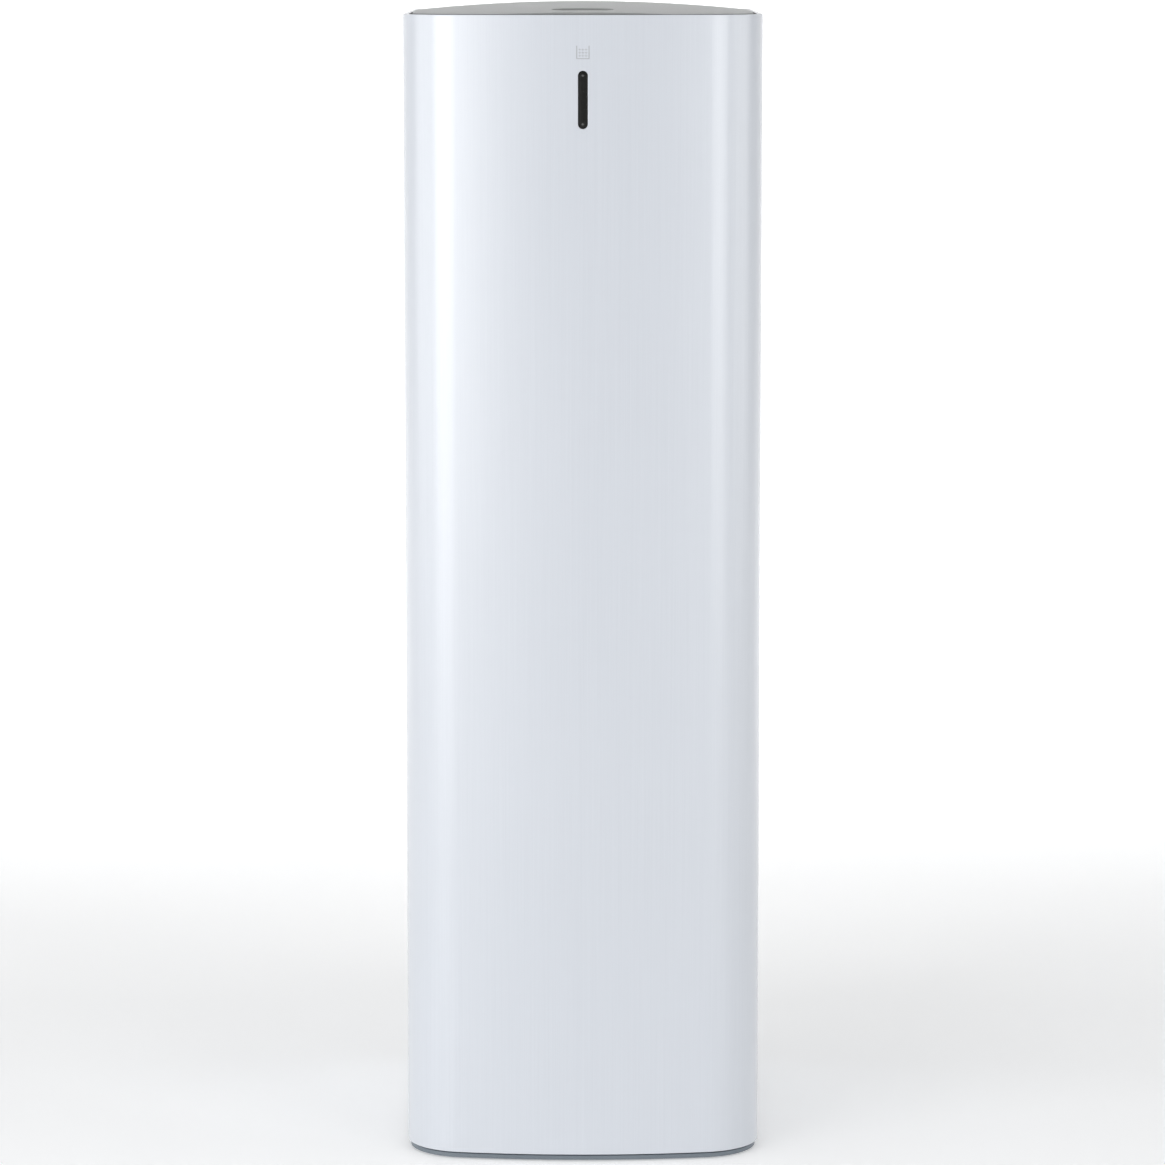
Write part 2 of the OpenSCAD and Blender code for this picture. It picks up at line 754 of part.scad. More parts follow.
module impeller() color([0.15, 0.16, 0.18]) about_fan() {
    blade_t = 1.4;
    top = 130;
    sweep_r = 34;
    difference() {
        union() {
            rod_z(impeller_r, back_plate_z, back_plate_z + 1.6, 0, 0);
            rod_z(10, back_plate_z, top - 4, 0, 0);
            for (i = [0:blades - 1]) rotate(360 * i / blades) translate([0, 0, back_plate_z + 1])
                linear_extrude(top - back_plate_z) intersection() {
                    translate([27, -22]) difference() {
                        circle(r = sweep_r, $fn = 128);
                        circle(r = sweep_r - blade_t, $fn = 128);
                    }
                    translate([12, 0]) square([impeller_r, 40]);
                    difference() {
                        circle(r = impeller_r - 0.6);
                        circle(r = 15);
                    }
                }
        }
        rod_z(shaft_r, back_plate_z - 1, top + 2, 0, 0);
    }
    ring(impeller_r, 25, top, top + 1.5);
}

module motor_shaft() color(steel) about_fan() {
    rod_z(shaft_r, 44.5, 127.6, 0, 0);
    translate([0, 0, 126]) cylinder(r = 7.5, h = 5, $fn = 6);
}

module rotor_magnet() color([0.30, 0.30, 0.33]) about_fan() ring(14, shaft_r, 62, 92);

module stator() color([0.55, 0.56, 0.58]) about_fan() {
    ring(26, 21.4, 60, 94);
    for (a = [0:60:300]) rotate(a) translate([0, 0, 60]) linear_extrude(34) intersection() {
        translate([14, -3.5]) square([8.4, 7]);
        difference() {
            circle(r = 22);
            circle(r = 15);
        }
    }
}

module windings() color([0.72, 0.40, 0.18]) about_fan() {
    for (a = [0:60:300]) rotate(a) difference() {
        block([16.4, -6.1, 57.4], [19.6, 6.1, 96.6]);
        block([14, -3.6, 59.9], [23, 3.6, 94.1]);
    }
}

module bearings() color(steel) about_fan() {
    for (z = [47, 95.2]) ring(8, shaft_r + 0.05, z, z + 6);
}

module motor_can() color([0.62, 0.64, 0.66]) about_fan() {
    rotate_extrude() polygon([[8, 46], [can_r, 46], [can_r, 100], [can_r - 2.4, 100], [can_r - 2.4, 48.4],
        [10.4, 48.4], [10.4, 54], [8, 54]]);
    rotate_extrude() polygon([[8, 94], [10.4, 94], [10.4, 100], [can_r, 100], [can_r, 102.4], [8, 102.4]]);
}

module diffuser() color(frame_grey) about_fan() {
    vanes = 12;
    ring(46.8, 12, 102.6, 104.6);
    ring(46.8, 44.8, 104, 110.6);
    for (i = [0:vanes - 1]) rotate(360 * i / vanes)
        block([46, -0.8, 102.6], [51.4, 0.8, 110.6]);
}

module motor_housing() color(dark_grey) about_fan() {
    floor_z = 40;
    difference() {
        union() {
            ring(housing_r, 54.3, floor_z, 130);
            rod_z(housing_r, floor_z, floor_z + 3, 0, 0);
            for (a = [90:120:330]) rod_z(5, floor_z, 46, 20 * cos(a), 20 * sin(a));
        }
        for (i = [0:5]) block([-40, 10, floor_z + 8 + i * 9], [40, 70, floor_z + 13 + i * 9]);
        rod_z(9, floor_z - 1, floor_z + 4, 0, 0);
    }
}

module motor_isolators() color(rubber_black) about_fan() {
    for (a = [45:90:315]) translate([44 * cos(a), 44 * sin(a), 24]) rotate_extrude()
        polygon([[0, 0], [7.4, 0], [7.4, 4], [5, 6.4], [5, 9.6], [7.4, 12], [7.4, 16], [0, 16]]);
}

// ---------- exhaust ----------

module filter_housing() color(frame_grey) {
    wall = 2.2;
    front = 82;
    difference() {
        intersection() {
            plan_slab(shell_t + 0.2, 0, rim_z);
            union() {
                upright_frame(exhaust_x + 1.4, exhaust_z0 - 2.4, exhaust_z1 + 2.4, wall, front, body_d);
                upright_frame(exhaust_x + 1.4, exhaust_z0 - 2.4, exhaust_z1 + 2.4, wall + 6, front, front + 2.4);
            }
        }
        block([-exhaust_x - 0.4, 104, exhaust_z0 - 0.4], [exhaust_x + 0.4, body_d, exhaust_z1 + 0.4]);
    }
}

module exhaust_cover() color(white) {
    skin = 2.4;
    pitch = 8;
    slot_h = 3.4;
    slot_z = exhaust_z0 + 9.6;
    difference() {
        union() {
            intersection() {
                plan_ring(0, skin, exhaust_z0, exhaust_z1);
                block([-exhaust_x, 100, exhaust_z0], [exhaust_x, body_d, exhaust_z1]);
            }
            intersection() {
                plan_slab(skin / 2, exhaust_z0, exhaust_z1);
                upright_frame(exhaust_x - 2, exhaust_z0 + 2, exhaust_z1 - 2, 2, 111.6, body_d);
            }
        }
        for (i = [0:exhaust_slots - 1]) translate([0, 0, slot_z + i * pitch]) {
            block([-48, 100, -slot_h / 2], [48, body_d, slot_h / 2]);
            for (s = [-1, 1]) rod_y(slot_h / 2, 100, body_d, s * 48, 0);
        }
        block([-12.4, 100, exhaust_z1 - 13], [12.4, body_d, exhaust_z1 + 1]);
    }
}

module filter_latch() color(base_grey) {
    block([-12, 118.4, exhaust_z1 - 9.8], [12, 125.4, exhaust_z1 - 0.4]);
    block([-12, 116.4, exhaust_z1 - 12.8], [12, 118.6, exhaust_z1 - 0.4]);
    block([-10, 112.6, exhaust_z1 - 6.6], [10, 119, exhaust_z1 - 4.6]);
    for (i = [0:2]) block([-9, 125.2, exhaust_z1 - 8.2 + i * 2.4], [9, 125.9, exhaust_z1 - 7.2 + i * 2.4]);
}

module hepa_frame() color([0.88, 0.88, 0.86]) {
    upright_frame(exhaust_x - 2.2, exhaust_z0 + 2.2, exhaust_z1 - 2.2, 2.6, 87, 111.4);
    upright_frame(exhaust_x - 2.2, exhaust_z0 + 2.2, exhaust_z1 - 2.2, 5, 84.9, 87);
}

module hepa_pleats() color([0.93, 0.94, 0.93]) {
    half = exhaust_x - 5;
    media = 0.7;
    pitch = 2 * half / pleats;
    y0 = 88.6;
    y1 = 109.6;
    near = [for (i = [0:2 * pleats]) [-half + i * pitch / 2, i % 2 == 0 ? y0 : y1 - media]];
    far = [for (i = [2 * pleats:-1:0]) [-half + i * pitch / 2, i % 2 == 0 ? y0 + media : y1]];
    translate([0, 0, exhaust_z0 + 5]) linear_extrude(exhaust_z1 - exhaust_z0 - 10) polygon(concat(near, far));
}

// ---------- electronics and fasteners ----------

board_y = 60;
module main_board() color(board_green) {
    difference() {
        block([-50, board_y, 200], [50, board_y + 1.6, 322]);
        for (x = [-45, 45], z = [206, 316]) rod_y(1.6, board_y - 1, board_y + 3, x, z);
    }
}

module board_parts() color(dark_grey) {
    face = board_y + 1.6;
    fins = 7;
    for (x = [-34, -12]) rod_y(9, face, face + 26, x, 296);
    block([8, face, 262], [42, face + 4, 312]);
    for (i = [0:fins - 1]) block([8 + i * 5.4, face + 3, 262], [9.6 + i * 5.4, face + 22, 312]);
    block([-42, face, 236], [-16, face + 16, 262]);
    block([-8, face, 238], [4, face + 10, 252]);
    for (i = [0:3]) block([-40 + i * 20, face, 206], [-26 + i * 20, face + 8, 216]);
    for (x = [-45, 45], z = [206, 316]) rod_y(3.4, chamber_back + chamber_t, board_y, x, z);
}

module cord_gland() color(dark_grey) {
    bore_r = 3.6;
    difference() {
        union() {
            rod_y(7.9, 108, body_d / 2 - 0.1, 0, boss_z);
            rod_y(9.6, 108, body_d / 2 - shell_t - 3.8, 0, boss_z);
        }
        rod_y(bore_r, 100, body_d, 0, boss_z);
    }
}

module screws() color(steel) {
    for (s = [-1, 1]) for (b = [frame_boss, rear_boss]) {
        rod_z(3.8, 0.8, 3.2, s * b[0], b[1]);
        rod_z(1.9, 3.1, 30, s * b[0], b[1]);
        rod_z(3.6, deck_top, deck_top + 1.8, s * b[0], b[1]);
        rod_z(1.9, deck_z - 12, deck_top + 0.1, s * b[0], b[1]);
    }
}

front_cover();
rear_body();
base();
rubber_feet();
front_frame();
top_deck();
rear_strip();
lid();
lid_liner();
lid_seal();
lid_button();
lid_latch();
button_springs();
latch_spring();
hinge_pins();
hinge_springs();
light_guide();
light_board();
cover_liner();
cover_magnets();
strike_plates();
docking_well();
dock_seal();
dock_switch();
switch_plunger();
hopper();
inlet_duct();
inlet_flap();
flap_pin();
flap_springs();
nozzle_seal();
bag_chamber();
chamber_seal();
bag_rails();
bag_collar();
bag_membrane();
dust_bag();
filter_grid();
foam_filter();
fan_gasket();
fan_shroud();
impeller();
motor_shaft();
rotor_magnet();
stator();
windings();
bearings();
motor_can();
diffuser();
motor_housing();
motor_isolators();
filter_housing();
exhaust_cover();
filter_latch();
hepa_frame();
hepa_pleats();
main_board();
board_parts();
cord_gland();
screws();
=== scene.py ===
import json
import math

import bmesh
import bpy
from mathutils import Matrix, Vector
from mathutils.noise import noise as perlin


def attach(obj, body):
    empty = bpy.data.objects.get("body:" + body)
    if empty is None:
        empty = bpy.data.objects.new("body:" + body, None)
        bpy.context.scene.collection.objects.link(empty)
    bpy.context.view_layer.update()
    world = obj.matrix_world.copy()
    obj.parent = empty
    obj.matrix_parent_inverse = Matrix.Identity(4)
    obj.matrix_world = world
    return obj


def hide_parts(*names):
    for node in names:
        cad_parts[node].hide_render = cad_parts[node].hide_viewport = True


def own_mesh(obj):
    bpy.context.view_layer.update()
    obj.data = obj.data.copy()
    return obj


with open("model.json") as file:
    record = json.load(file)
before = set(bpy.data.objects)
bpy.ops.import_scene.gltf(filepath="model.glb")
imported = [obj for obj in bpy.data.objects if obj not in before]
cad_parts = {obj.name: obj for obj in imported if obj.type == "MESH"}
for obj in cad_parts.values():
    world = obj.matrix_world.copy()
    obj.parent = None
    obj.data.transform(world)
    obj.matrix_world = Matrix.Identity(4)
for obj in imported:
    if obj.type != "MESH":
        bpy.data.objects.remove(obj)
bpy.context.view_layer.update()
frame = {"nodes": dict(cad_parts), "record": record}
N = frame["nodes"]
MM = 0.001

# ------------------------------ sizes, in mm

BODY_W, BODY_D, RIM_Z, CORNER_R, FRONT_R = 184.0, 252.0, 592.0, 33.0, 390.0
SHELL_T = 2.8
CORNER_X = BODY_W / 2 - CORNER_R
ARC_Y = FRONT_R - BODY_D / 2
CORNER_Y = math.sqrt((FRONT_R - CORNER_R) ** 2 - CORNER_X ** 2) - ARC_Y
CROWN_Z, DOME_RX, DOME_RY = RIM_Z + 5.4, 850.0, 1770.0
LIGHT_Z, LIGHT_H, LIGHT_W = 549.4, 29.2, 4.9
BUTTON_Y = -101.0


def crown_z(x, y, drop=0.0):
    """Height of the lid's crowned surface."""
    r = DOME_RY - DOME_RX + math.sqrt(DOME_RX ** 2 - x * x)
    return CROWN_Z - drop - DOME_RY + math.sqrt(r * r - y * y)


BOW_ANGLE = math.atan2(CORNER_X, ARC_Y + CORNER_Y)


def plan_frame(x, y):
    """How far (x, y) lies inside the plan outline, and the outward normal there, both exact."""
    s, ay = (-1.0 if y < 0 else 1.0), abs(y)
    if math.atan2(abs(x), ARC_Y + ay) < BOW_ANGLE:
        v, r = Vector((x, s * (ARC_Y + ay), 0)), FRONT_R
    elif ay > CORNER_Y:
        v, r = Vector((x - math.copysign(CORNER_X, x), s * (ay - CORNER_Y), 0)), CORNER_R
    else:
        return BODY_W / 2 - abs(x), Vector((math.copysign(1.0, x), 0, 0))
    n = v.length
    return r - n, v / max(n, 1e-9)


def crown_normal(x, y):
    h = 0.5
    slope_x = crown_z(x - h, y) - crown_z(x + h, y)
    slope_y = crown_z(x, y - h) - crown_z(x, y + h)
    return Vector((slope_x, slope_y, 2 * h)).normalized()


def true_normal(co, n):
    """The exact normal of the shell or crown that a face with normal n at co belongs to, or None."""
    inset, side = plan_frame(co.x, co.y)
    if -0.4 < inset < 12 and abs(side.dot(n)) > 0.985:
        return side if side.dot(n) > 0 else -side
    if n.z > 0.9 and abs(co.z - crown_z(co.x, co.y)) < 0.4:
        return crown_normal(co.x, co.y)
    return None


def link(name, mesh, body=None, mats=()):
    ob = bpy.data.objects.new(name, mesh)
    bpy.context.scene.collection.objects.link(ob)
    for m in mats:
        mesh.materials.append(m)
    if body:
        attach(ob, body)
    return ob


def apply_modifiers(ob):
    dg = bpy.context.evaluated_depsgraph_get()
    dg.update()
    fresh = bpy.data.meshes.new_from_object(ob.evaluated_get(dg))
    old = ob.data
    ob.modifiers.clear()
    ob.data = fresh
    bpy.data.meshes.remove(old)
    return ob


def smooth(ob, degrees=35):
    me = ob.data
    me.polygons.foreach_set("use_smooth", [True] * len(me.polygons))
    me.set_sharp_from_angle(angle=math.radians(degrees))
    me.update()


SHARP_EDGE = 38


def refined(node, bevel, x_step=None, z_step=None, y_step=None, snap=()):
    """A finer copy of a hard CAD node: small edge radii, an even grid and exact normals on curved faces."""
    bm = bmesh.new()
    bm.from_mesh(N[node].data)
    bmesh.ops.scale(bm, vec=(1000, 1000, 1000), verts=bm.verts)
    bmesh.ops.remove_doubles(bm, verts=bm.verts, dist=0.002)
    bmesh.ops.dissolve_limit(bm, angle_limit=math.radians(0.35), verts=bm.verts, edges=bm.edges)
    tag = bm.faces.layers.int.new("edge_radius")
    sharp = [e for e in bm.edges
             if len(e.link_faces) == 2 and e.calc_face_angle(0) > math.radians(SHARP_EDGE)]
    made = bmesh.ops.bevel(bm, geom=sharp, offset=bevel, offset_type="OFFSET", segments=3, profile=0.5,
                           affect="EDGES", clamp_overlap=False)
    for f in made["faces"]:
        f[tag] = 1
    bmesh.ops.triangulate(bm, faces=[f for f in bm.faces if len(f.verts) > 4])
    lo = Vector(tuple(min(v.co[i] for v in bm.verts) for i in range(3)))
    hi = Vector(tuple(max(v.co[i] for v in bm.verts) for i in range(3)))
    for axis, step in ((0, x_step), (1, y_step), (2, z_step)):
        if not step:
            continue
        count = int((hi[axis] - lo[axis]) / step)
        for i in range(1, count + 1):
            co = Vector((0, 0, 0))
            co[axis] = lo[axis] + (hi[axis] - lo[axis]) * i / (count + 1) + 0.0137
            no = Vector((0, 0, 0))
            no[axis] = 1
            bmesh.ops.bisect_plane(bm, geom=list(bm.verts) + list(bm.edges) + list(bm.faces), dist=0.0005,
                                   plane_co=co, plane_no=no)
    bm.normal_update()
    for v in bm.verts:
        inset, side = plan_frame(v.co.x, v.co.y)
        for want in snap:
            on_wall = any(not f[tag] and abs(f.normal.dot(side)) > 0.985 for f in v.link_faces)
            if abs(inset - want) < 0.16 and on_wall:
                v.co += side * (inset - want)
                break
    bm.normal_update()
    bm.faces.index_update()
    weight = {}
    flat = {}
    for f in bm.faces:
        for l in f.loops:
            weight[l] = max(l.calc_angle(), 1e-4) * min(f.calc_area(), 60.0)
    for f in bm.faces:
        if f[tag]:
            continue
        for l in f.loops:
            n = true_normal(l.vert.co, f.normal)
            if n is None:
                n = Vector((0, 0, 0))
                for k in l.vert.link_loops:
                    if not k.face[tag] and k.face.normal.dot(f.normal) > 0.87:
                        n += k.face.normal * weight[k]
                n = n.normalized() if n.length > 1e-9 else f.normal.copy()
            flat[l] = n
    normals = []
    for f in bm.faces:
        for l in f.loops:
            if l in flat:
                normals.append(flat[l])
                continue
            near = [flat[k] for k in l.vert.link_loops if k in flat and k.face.normal.dot(f.normal) > 0.35]
            if near:
                n = max(near, key=lambda q: q.dot(f.normal))
            else:
                n = Vector((0, 0, 0))
                for k in l.vert.link_loops:
                    if k.face[tag] and k.face.normal.dot(f.normal) > 0.5:
                        n += k.face.normal * weight[k]
                n = n.normalized() if n.length > 1e-9 else f.normal.copy()
            normals.append(n.copy())
    bmesh.ops.scale(bm, vec=(0.001, 0.001, 0.001), verts=bm.verts)
    me = bpy.data.meshes.new(node + "_fine")
    bm.to_mesh(me)
    bm.free()
    me.polygons.foreach_set("use_smooth", [True] * len(me.polygons))
    me.normals_split_custom_set([tuple(n) for n in normals])
    ob = link(node + "_fine", me, BODY_OF[node], [MAT[SLOT[node]]])
    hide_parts(node)
    return ob


# ------------------------------ materials

class Nodes:
    """A small helper for building one material's node tree."""

    def __init__(self, name):
        self.mat = bpy.data.materials.new(name)
        self.mat.use_nodes = True
        self.t = self.mat.node_tree
        self.bsdf = self.t.nodes["Principled BSDF"]
        self.coords = self.new("ShaderNodeTexCoord").outputs["Object"]

    def new(self, kind, **props):
        n = self.t.nodes.new(kind)
        for k, v in props.items():
            setattr(n, k, v)
        return n

    def link(self, a, b):
        self.t.links.new(a, b)

    def noise(self, scale, detail=3.0, rough=0.55, stretch=None):
        n = self.new("ShaderNodeTexNoise")
        src = self.coords
        if stretch:
            m = self.new("ShaderNodeMapping")
            m.inputs["Scale"].default_value = stretch
            self.link(src, m.inputs["Vector"])
            src = m.outputs["Vector"]
        self.link(src, n.inputs["Vector"])
        n.inputs["Scale"].default_value = scale
        n.inputs["Detail"].default_value = detail
        n.inputs["Roughness"].default_value = rough
        return n.outputs["Fac"]

    def spread(self, value, lo, hi, a=0.3, b=0.7):
        r = self.new("ShaderNodeMapRange")
        self.link(value, r.inputs["Value"])
        r.inputs["From Min"].default_value = a
        r.inputs["From Max"].default_value = b
        r.inputs["To Min"].default_value = lo
        r.inputs["To Max"].default_value = hi
        return r.outputs["Result"]

    def tint(self, value, dark, light):
        r = self.new("ShaderNodeMix", data_type="RGBA")
        self.link(value, r.inputs["Factor"])
        r.inputs[6].default_value = (*dark, 1)
        r.inputs[7].default_value = (*light, 1)
        return r.outputs[2]

    def math(self, op, a, b=None):
        n = self.new("ShaderNodeMath", operation=op)
        for i, v in enumerate((a, b)):
            if v is None:
                continue
            if hasattr(v, "is_output"):
                self.link(v, n.inputs[i])
            else:
                n.inputs[i].default_value = v
        return n.outputs[0]

    def bump(self, height, distance, strength=1.0, under=None):
        n = self.new("ShaderNodeBump")
        n.inputs["Strength"].default_value = strength
        n.inputs["Distance"].default_value = distance
        self.link(height, n.inputs["Height"])
        if under is not None:
            self.link(under, n.inputs["Normal"])
        return n.outputs["Normal"]

    def normal(self, out):
        self.link(out, self.bsdf.inputs["Normal"])

    def const(self, **kw):
        for k, v in kw.items():
            self.bsdf.inputs[k.replace("_", " ")].default_value = v


def moulded(name, dark, light, rough=(0.42, 0.52), grain=2600, depth=0.00003, coat=0.0, spec=0.5):
    """Injection-moulded plastic: faint colour drift, spark-eroded grain and slow waviness."""
    m = Nodes(name)
    drift = m.noise(9, 3)
    fine = m.noise(grain, 4, 0.65)
    m.link(m.tint(m.spread(drift, 0, 1), dark, light), m.bsdf.inputs["Base Color"])
    m.link(m.spread(fine, *rough), m.bsdf.inputs["Roughness"])
    wavy = m.bump(m.noise(34, 2), 0.00012, 0.25)
    m.normal(m.bump(fine, depth, 0.55, wavy))
    m.const(Specular_IOR_Level=spec, Coat_Weight=coat, Coat_Roughness=0.12)
    return m.mat


def pearl_white(name):
    """Pearl white lacquer with very fine upright lines."""
    m = Nodes(name)
    lines = m.noise(1.0, 2, 0.6, stretch=(2600, 2600, 9))
    fine = m.noise(5200, 2, 0.5)
    drift = m.noise(5, 2)
    both = m.math("ADD", m.math("MULTIPLY", lines, 0.7), m.math("MULTIPLY", drift, 0.3))
    pearl = m.tint(m.spread(both, 0, 1), (0.588, 0.618, 0.668), (0.622, 0.652, 0.702))
    m.link(pearl, m.bsdf.inputs["Base Color"])
    m.link(m.spread(lines, 0.32, 0.38), m.bsdf.inputs["Roughness"])
    m.normal(m.bump(fine, 0.000006, 0.4, m.bump(lines, 0.000006, 0.4)))
    m.const(Coat_Weight=0.7, Coat_Roughness=0.25, Specular_IOR_Level=0.9)
    return m.mat


def rubber(name, dark=(0.018, 0.018, 0.02), light=(0.034, 0.034, 0.037)):
    m = Nodes(name)
    fine = m.noise(1500, 4, 0.7)
    m.link(m.tint(m.spread(m.noise(40, 3), 0, 1), dark, light), m.bsdf.inputs["Base Color"])
    m.link(m.spread(fine, 0.62, 0.8), m.bsdf.inputs["Roughness"])
    m.normal(m.bump(fine, 0.00004, 0.6))
    m.const(Specular_IOR_Level=0.35)
    return m.mat


def metal(name, dark, light, rough=(0.22, 0.36), stretch=(900, 900, 60), depth=0.000012):
    m = Nodes(name)
    lines = m.noise(1.0, 3, 0.6, stretch=stretch)
    m.link(m.tint(m.spread(lines, 0, 1), dark, light), m.bsdf.inputs["Base Color"])
    m.link(m.spread(m.noise(120, 3), *rough), m.bsdf.inputs["Roughness"])
    m.normal(m.bump(lines, depth, 0.6))
    m.const(Metallic=1.0)
    return m.mat


def layered(name, dark, light, pitch):
    """Stacked sheet steel seen edge on."""
    m = Nodes(name)
    w = m.new("ShaderNodeTexWave", wave_type="BANDS", bands_direction="Z")
    m.link(m.coords, w.inputs["Vector"])
    w.inputs["Scale"].default_value = 0.314 / pitch
    w.inputs["Distortion"].default_value = 0.3
    m.link(m.tint(w.outputs["Fac"], dark, light), m.bsdf.inputs["Base Color"])
    m.link(m.spread(m.noise(300, 3), 0.35, 0.55), m.bsdf.inputs["Roughness"])
    m.normal(m.bump(w.outputs["Fac"], 0.00005, 0.7))
    m.const(Metallic=0.85)
    return m.mat


def wound(name):
    """Enamelled copper wire laid side by side; the colour follows the bump, darker in the grooves between
    turns: painted shade.
    """
    m = Nodes(name)
    w = m.new("ShaderNodeTexWave", wave_type="BANDS", bands_direction="DIAGONAL")
    m.link(m.coords, w.inputs["Vector"])
    w.inputs["Scale"].default_value = 420
    w.inputs["Distortion"].default_value = 0.6
    # colour follows the bands' height: darker in the grooves between the turns, painted shade
    m.link(m.tint(w.outputs["Fac"], (0.28, 0.09, 0.03), (0.72, 0.30, 0.12)), m.bsdf.inputs["Base Color"])
    m.normal(m.bump(w.outputs["Fac"], 0.00025, 0.9))
    m.const(Metallic=0.7, Roughness=0.3, Coat_Weight=0.4, Coat_Roughness=0.15)
    return m.mat


def board_mask(name):
    """Solder mask over copper tracks, as fine branching lines."""
    m = Nodes(name)
    v = m.new("ShaderNodeTexVoronoi", feature="DISTANCE_TO_EDGE")
    m.link(m.coords, v.inputs["Vector"])
    v.inputs["Scale"].default_value = 210
    track = m.math("LESS_THAN", v.outputs["Distance"], 0.09)
    m.link(m.tint(track, (0.012, 0.085, 0.045), (0.03, 0.17, 0.085)), m.bsdf.inputs["Base Color"])
    m.link(m.spread(m.noise(400, 2), 0.3, 0.42), m.bsdf.inputs["Roughness"])
    m.normal(m.bump(track, 0.00004, 0.5))
    m.const(Coat_Weight=0.4, Coat_Roughness=0.2)
    return m.mat


def nonwoven(name):
    """Melt-blown filter cloth: bonded fibres with a fine embossed dot pattern."""
    m = Nodes(name)
    fibre = m.noise(1.0, 6, 0.72, stretch=(900, 900, 900))
    blotch = m.noise(38, 3)
    v = m.new("ShaderNodeTexVoronoi", feature="F1")
    m.link(m.coords, v.inputs["Vector"])
    v.inputs["Scale"].default_value = 420
    v.inputs["Randomness"].default_value = 0.15
    dots = m.math("LESS_THAN", v.outputs["Distance"], 0.24)
    mix = m.math("ADD", m.math("MULTIPLY", fibre, 0.6), m.math("MULTIPLY", blotch, 0.4))
    m.link(m.tint(m.spread(mix, 0, 1, 0.35, 0.65), (0.56, 0.545, 0.50), (0.74, 0.725, 0.68)),
           m.bsdf.inputs["Base Color"])
    m.link(m.spread(fibre, 0.8, 0.95), m.bsdf.inputs["Roughness"])
    soft = m.bump(fibre, 0.0003, 0.5)
    m.normal(m.bump(m.math("SUBTRACT", 1.0, dots), 0.00018, 0.5, soft))
    m.const(Sheen_Weight=0.25, Sheen_Roughness=0.6, Specular_IOR_Level=0.2)
    return m.mat


def foam(name):
    m = Nodes(name)
    v = m.new("ShaderNodeTexVoronoi", feature="DISTANCE_TO_EDGE")
    m.link(m.coords, v.inputs["Vector"])
    v.inputs["Scale"].default_value = 900
    # cell centres, sunk by the bump, are painted darker than the cell walls: painted shade in the pores
    m.link(m.tint(m.spread(v.outputs["Distance"], 1, 0, 0.0, 0.3), (0.015, 0.03, 0.06), (0.07, 0.13, 0.24)),
           m.bsdf.inputs["Base Color"])
    m.normal(m.bump(v.outputs["Distance"], -0.0009, 0.9))
    m.const(Roughness=0.92, Specular_IOR_Level=0.15)
    return m.mat


def pleat_paper(name):
    m = Nodes(name)
    fibre = m.noise(1.0, 5, 0.7, stretch=(1400, 1400, 500))
    m.link(m.tint(m.spread(fibre, 0, 1), (0.70, 0.71, 0.70), (0.84, 0.85, 0.84)), m.bsdf.inputs["Base Color"])
    m.normal(m.bump(fibre, 0.00012, 0.6))
    m.const(Roughness=0.9, Specular_IOR_Level=0.2)
    return m.mat


def smoked(name, dark=(0.012, 0.0125, 0.012), light=(0.017, 0.018, 0.017), rough=(0.20, 0.28)):
    """Smoked lens plastic with a satin face."""
    m = Nodes(name)
    haze = m.noise(700, 3)
    m.link(m.tint(m.spread(haze, 0, 1), dark, light), m.bsdf.inputs["Base Color"])
    m.link(m.spread(haze, *rough), m.bsdf.inputs["Roughness"])
    m.normal(m.bump(haze, 0.000005, 0.3))
    m.const(Specular_IOR_Level=0.2)
    return m.mat


MAT = {
    "shell_white": pearl_white("shell_white"),
    "lid_grey": moulded("lid_grey", (0.326, 0.337, 0.333), (0.360, 0.370, 0.366), (0.36, 0.46),
                        3000, 0.00002),
    "base_grey": moulded("base_grey", (0.150, 0.178, 0.205), (0.176, 0.204, 0.232), (0.38, 0.5),
                         3000, 0.00002),
    "inner_grey": moulded("inner_grey", (0.47, 0.48, 0.50), (0.54, 0.55, 0.57)),
    "dark_plastic": moulded("dark_plastic", (0.020, 0.020, 0.022), (0.036, 0.036, 0.040), (0.40, 0.55)),
    "lens_black": smoked("lens_black"),
    "rubber_black": rubber("rubber_black"),
    "steel": metal("steel", (0.42, 0.43, 0.45), (0.60, 0.61, 0.63)),
    "lamination": layered("lamination", (0.16, 0.17, 0.18), (0.42, 0.43, 0.45), 0.0009),
    "ferrite": moulded("ferrite", (0.030, 0.030, 0.032), (0.055, 0.055, 0.058), (0.35, 0.5)),
    "copper_wire": wound("copper_wire"),
    "can_metal": metal("can_metal", (0.50, 0.51, 0.53), (0.66, 0.67, 0.69), (0.28, 0.42), (70, 70, 1200)),
    "board_green": board_mask("board_green"),
    "component_black": moulded("component_black", (0.016, 0.016, 0.018), (0.032, 0.032, 0.036), (0.34, 0.5)),
    "signal_red": moulded("signal_red", (0.36, 0.035, 0.02), (0.46, 0.055, 0.03), (0.35, 0.45)),
    "card_blue": moulded("card_blue", (0.045, 0.115, 0.235), (0.062, 0.145, 0.285), (0.4, 0.52)),
    "bag_fabric": nonwoven("bag_fabric"),
    "foam_blue": foam("foam_blue"),
    "media_white": pleat_paper("media_white"),
    "filter_frame_white": moulded("filter_frame_white", (0.62, 0.62, 0.60), (0.70, 0.70, 0.68), (0.4, 0.5)),
}
SLOT = {s["node"]: s["material_slot"] for s in frame["record"]["subparts"]}
BODY_OF = {n: b for b, ns in frame["record"]["behaviour"]["bodies"].items() for n in ns}

# ------------------------------ CAD nodes: materials and softened edges

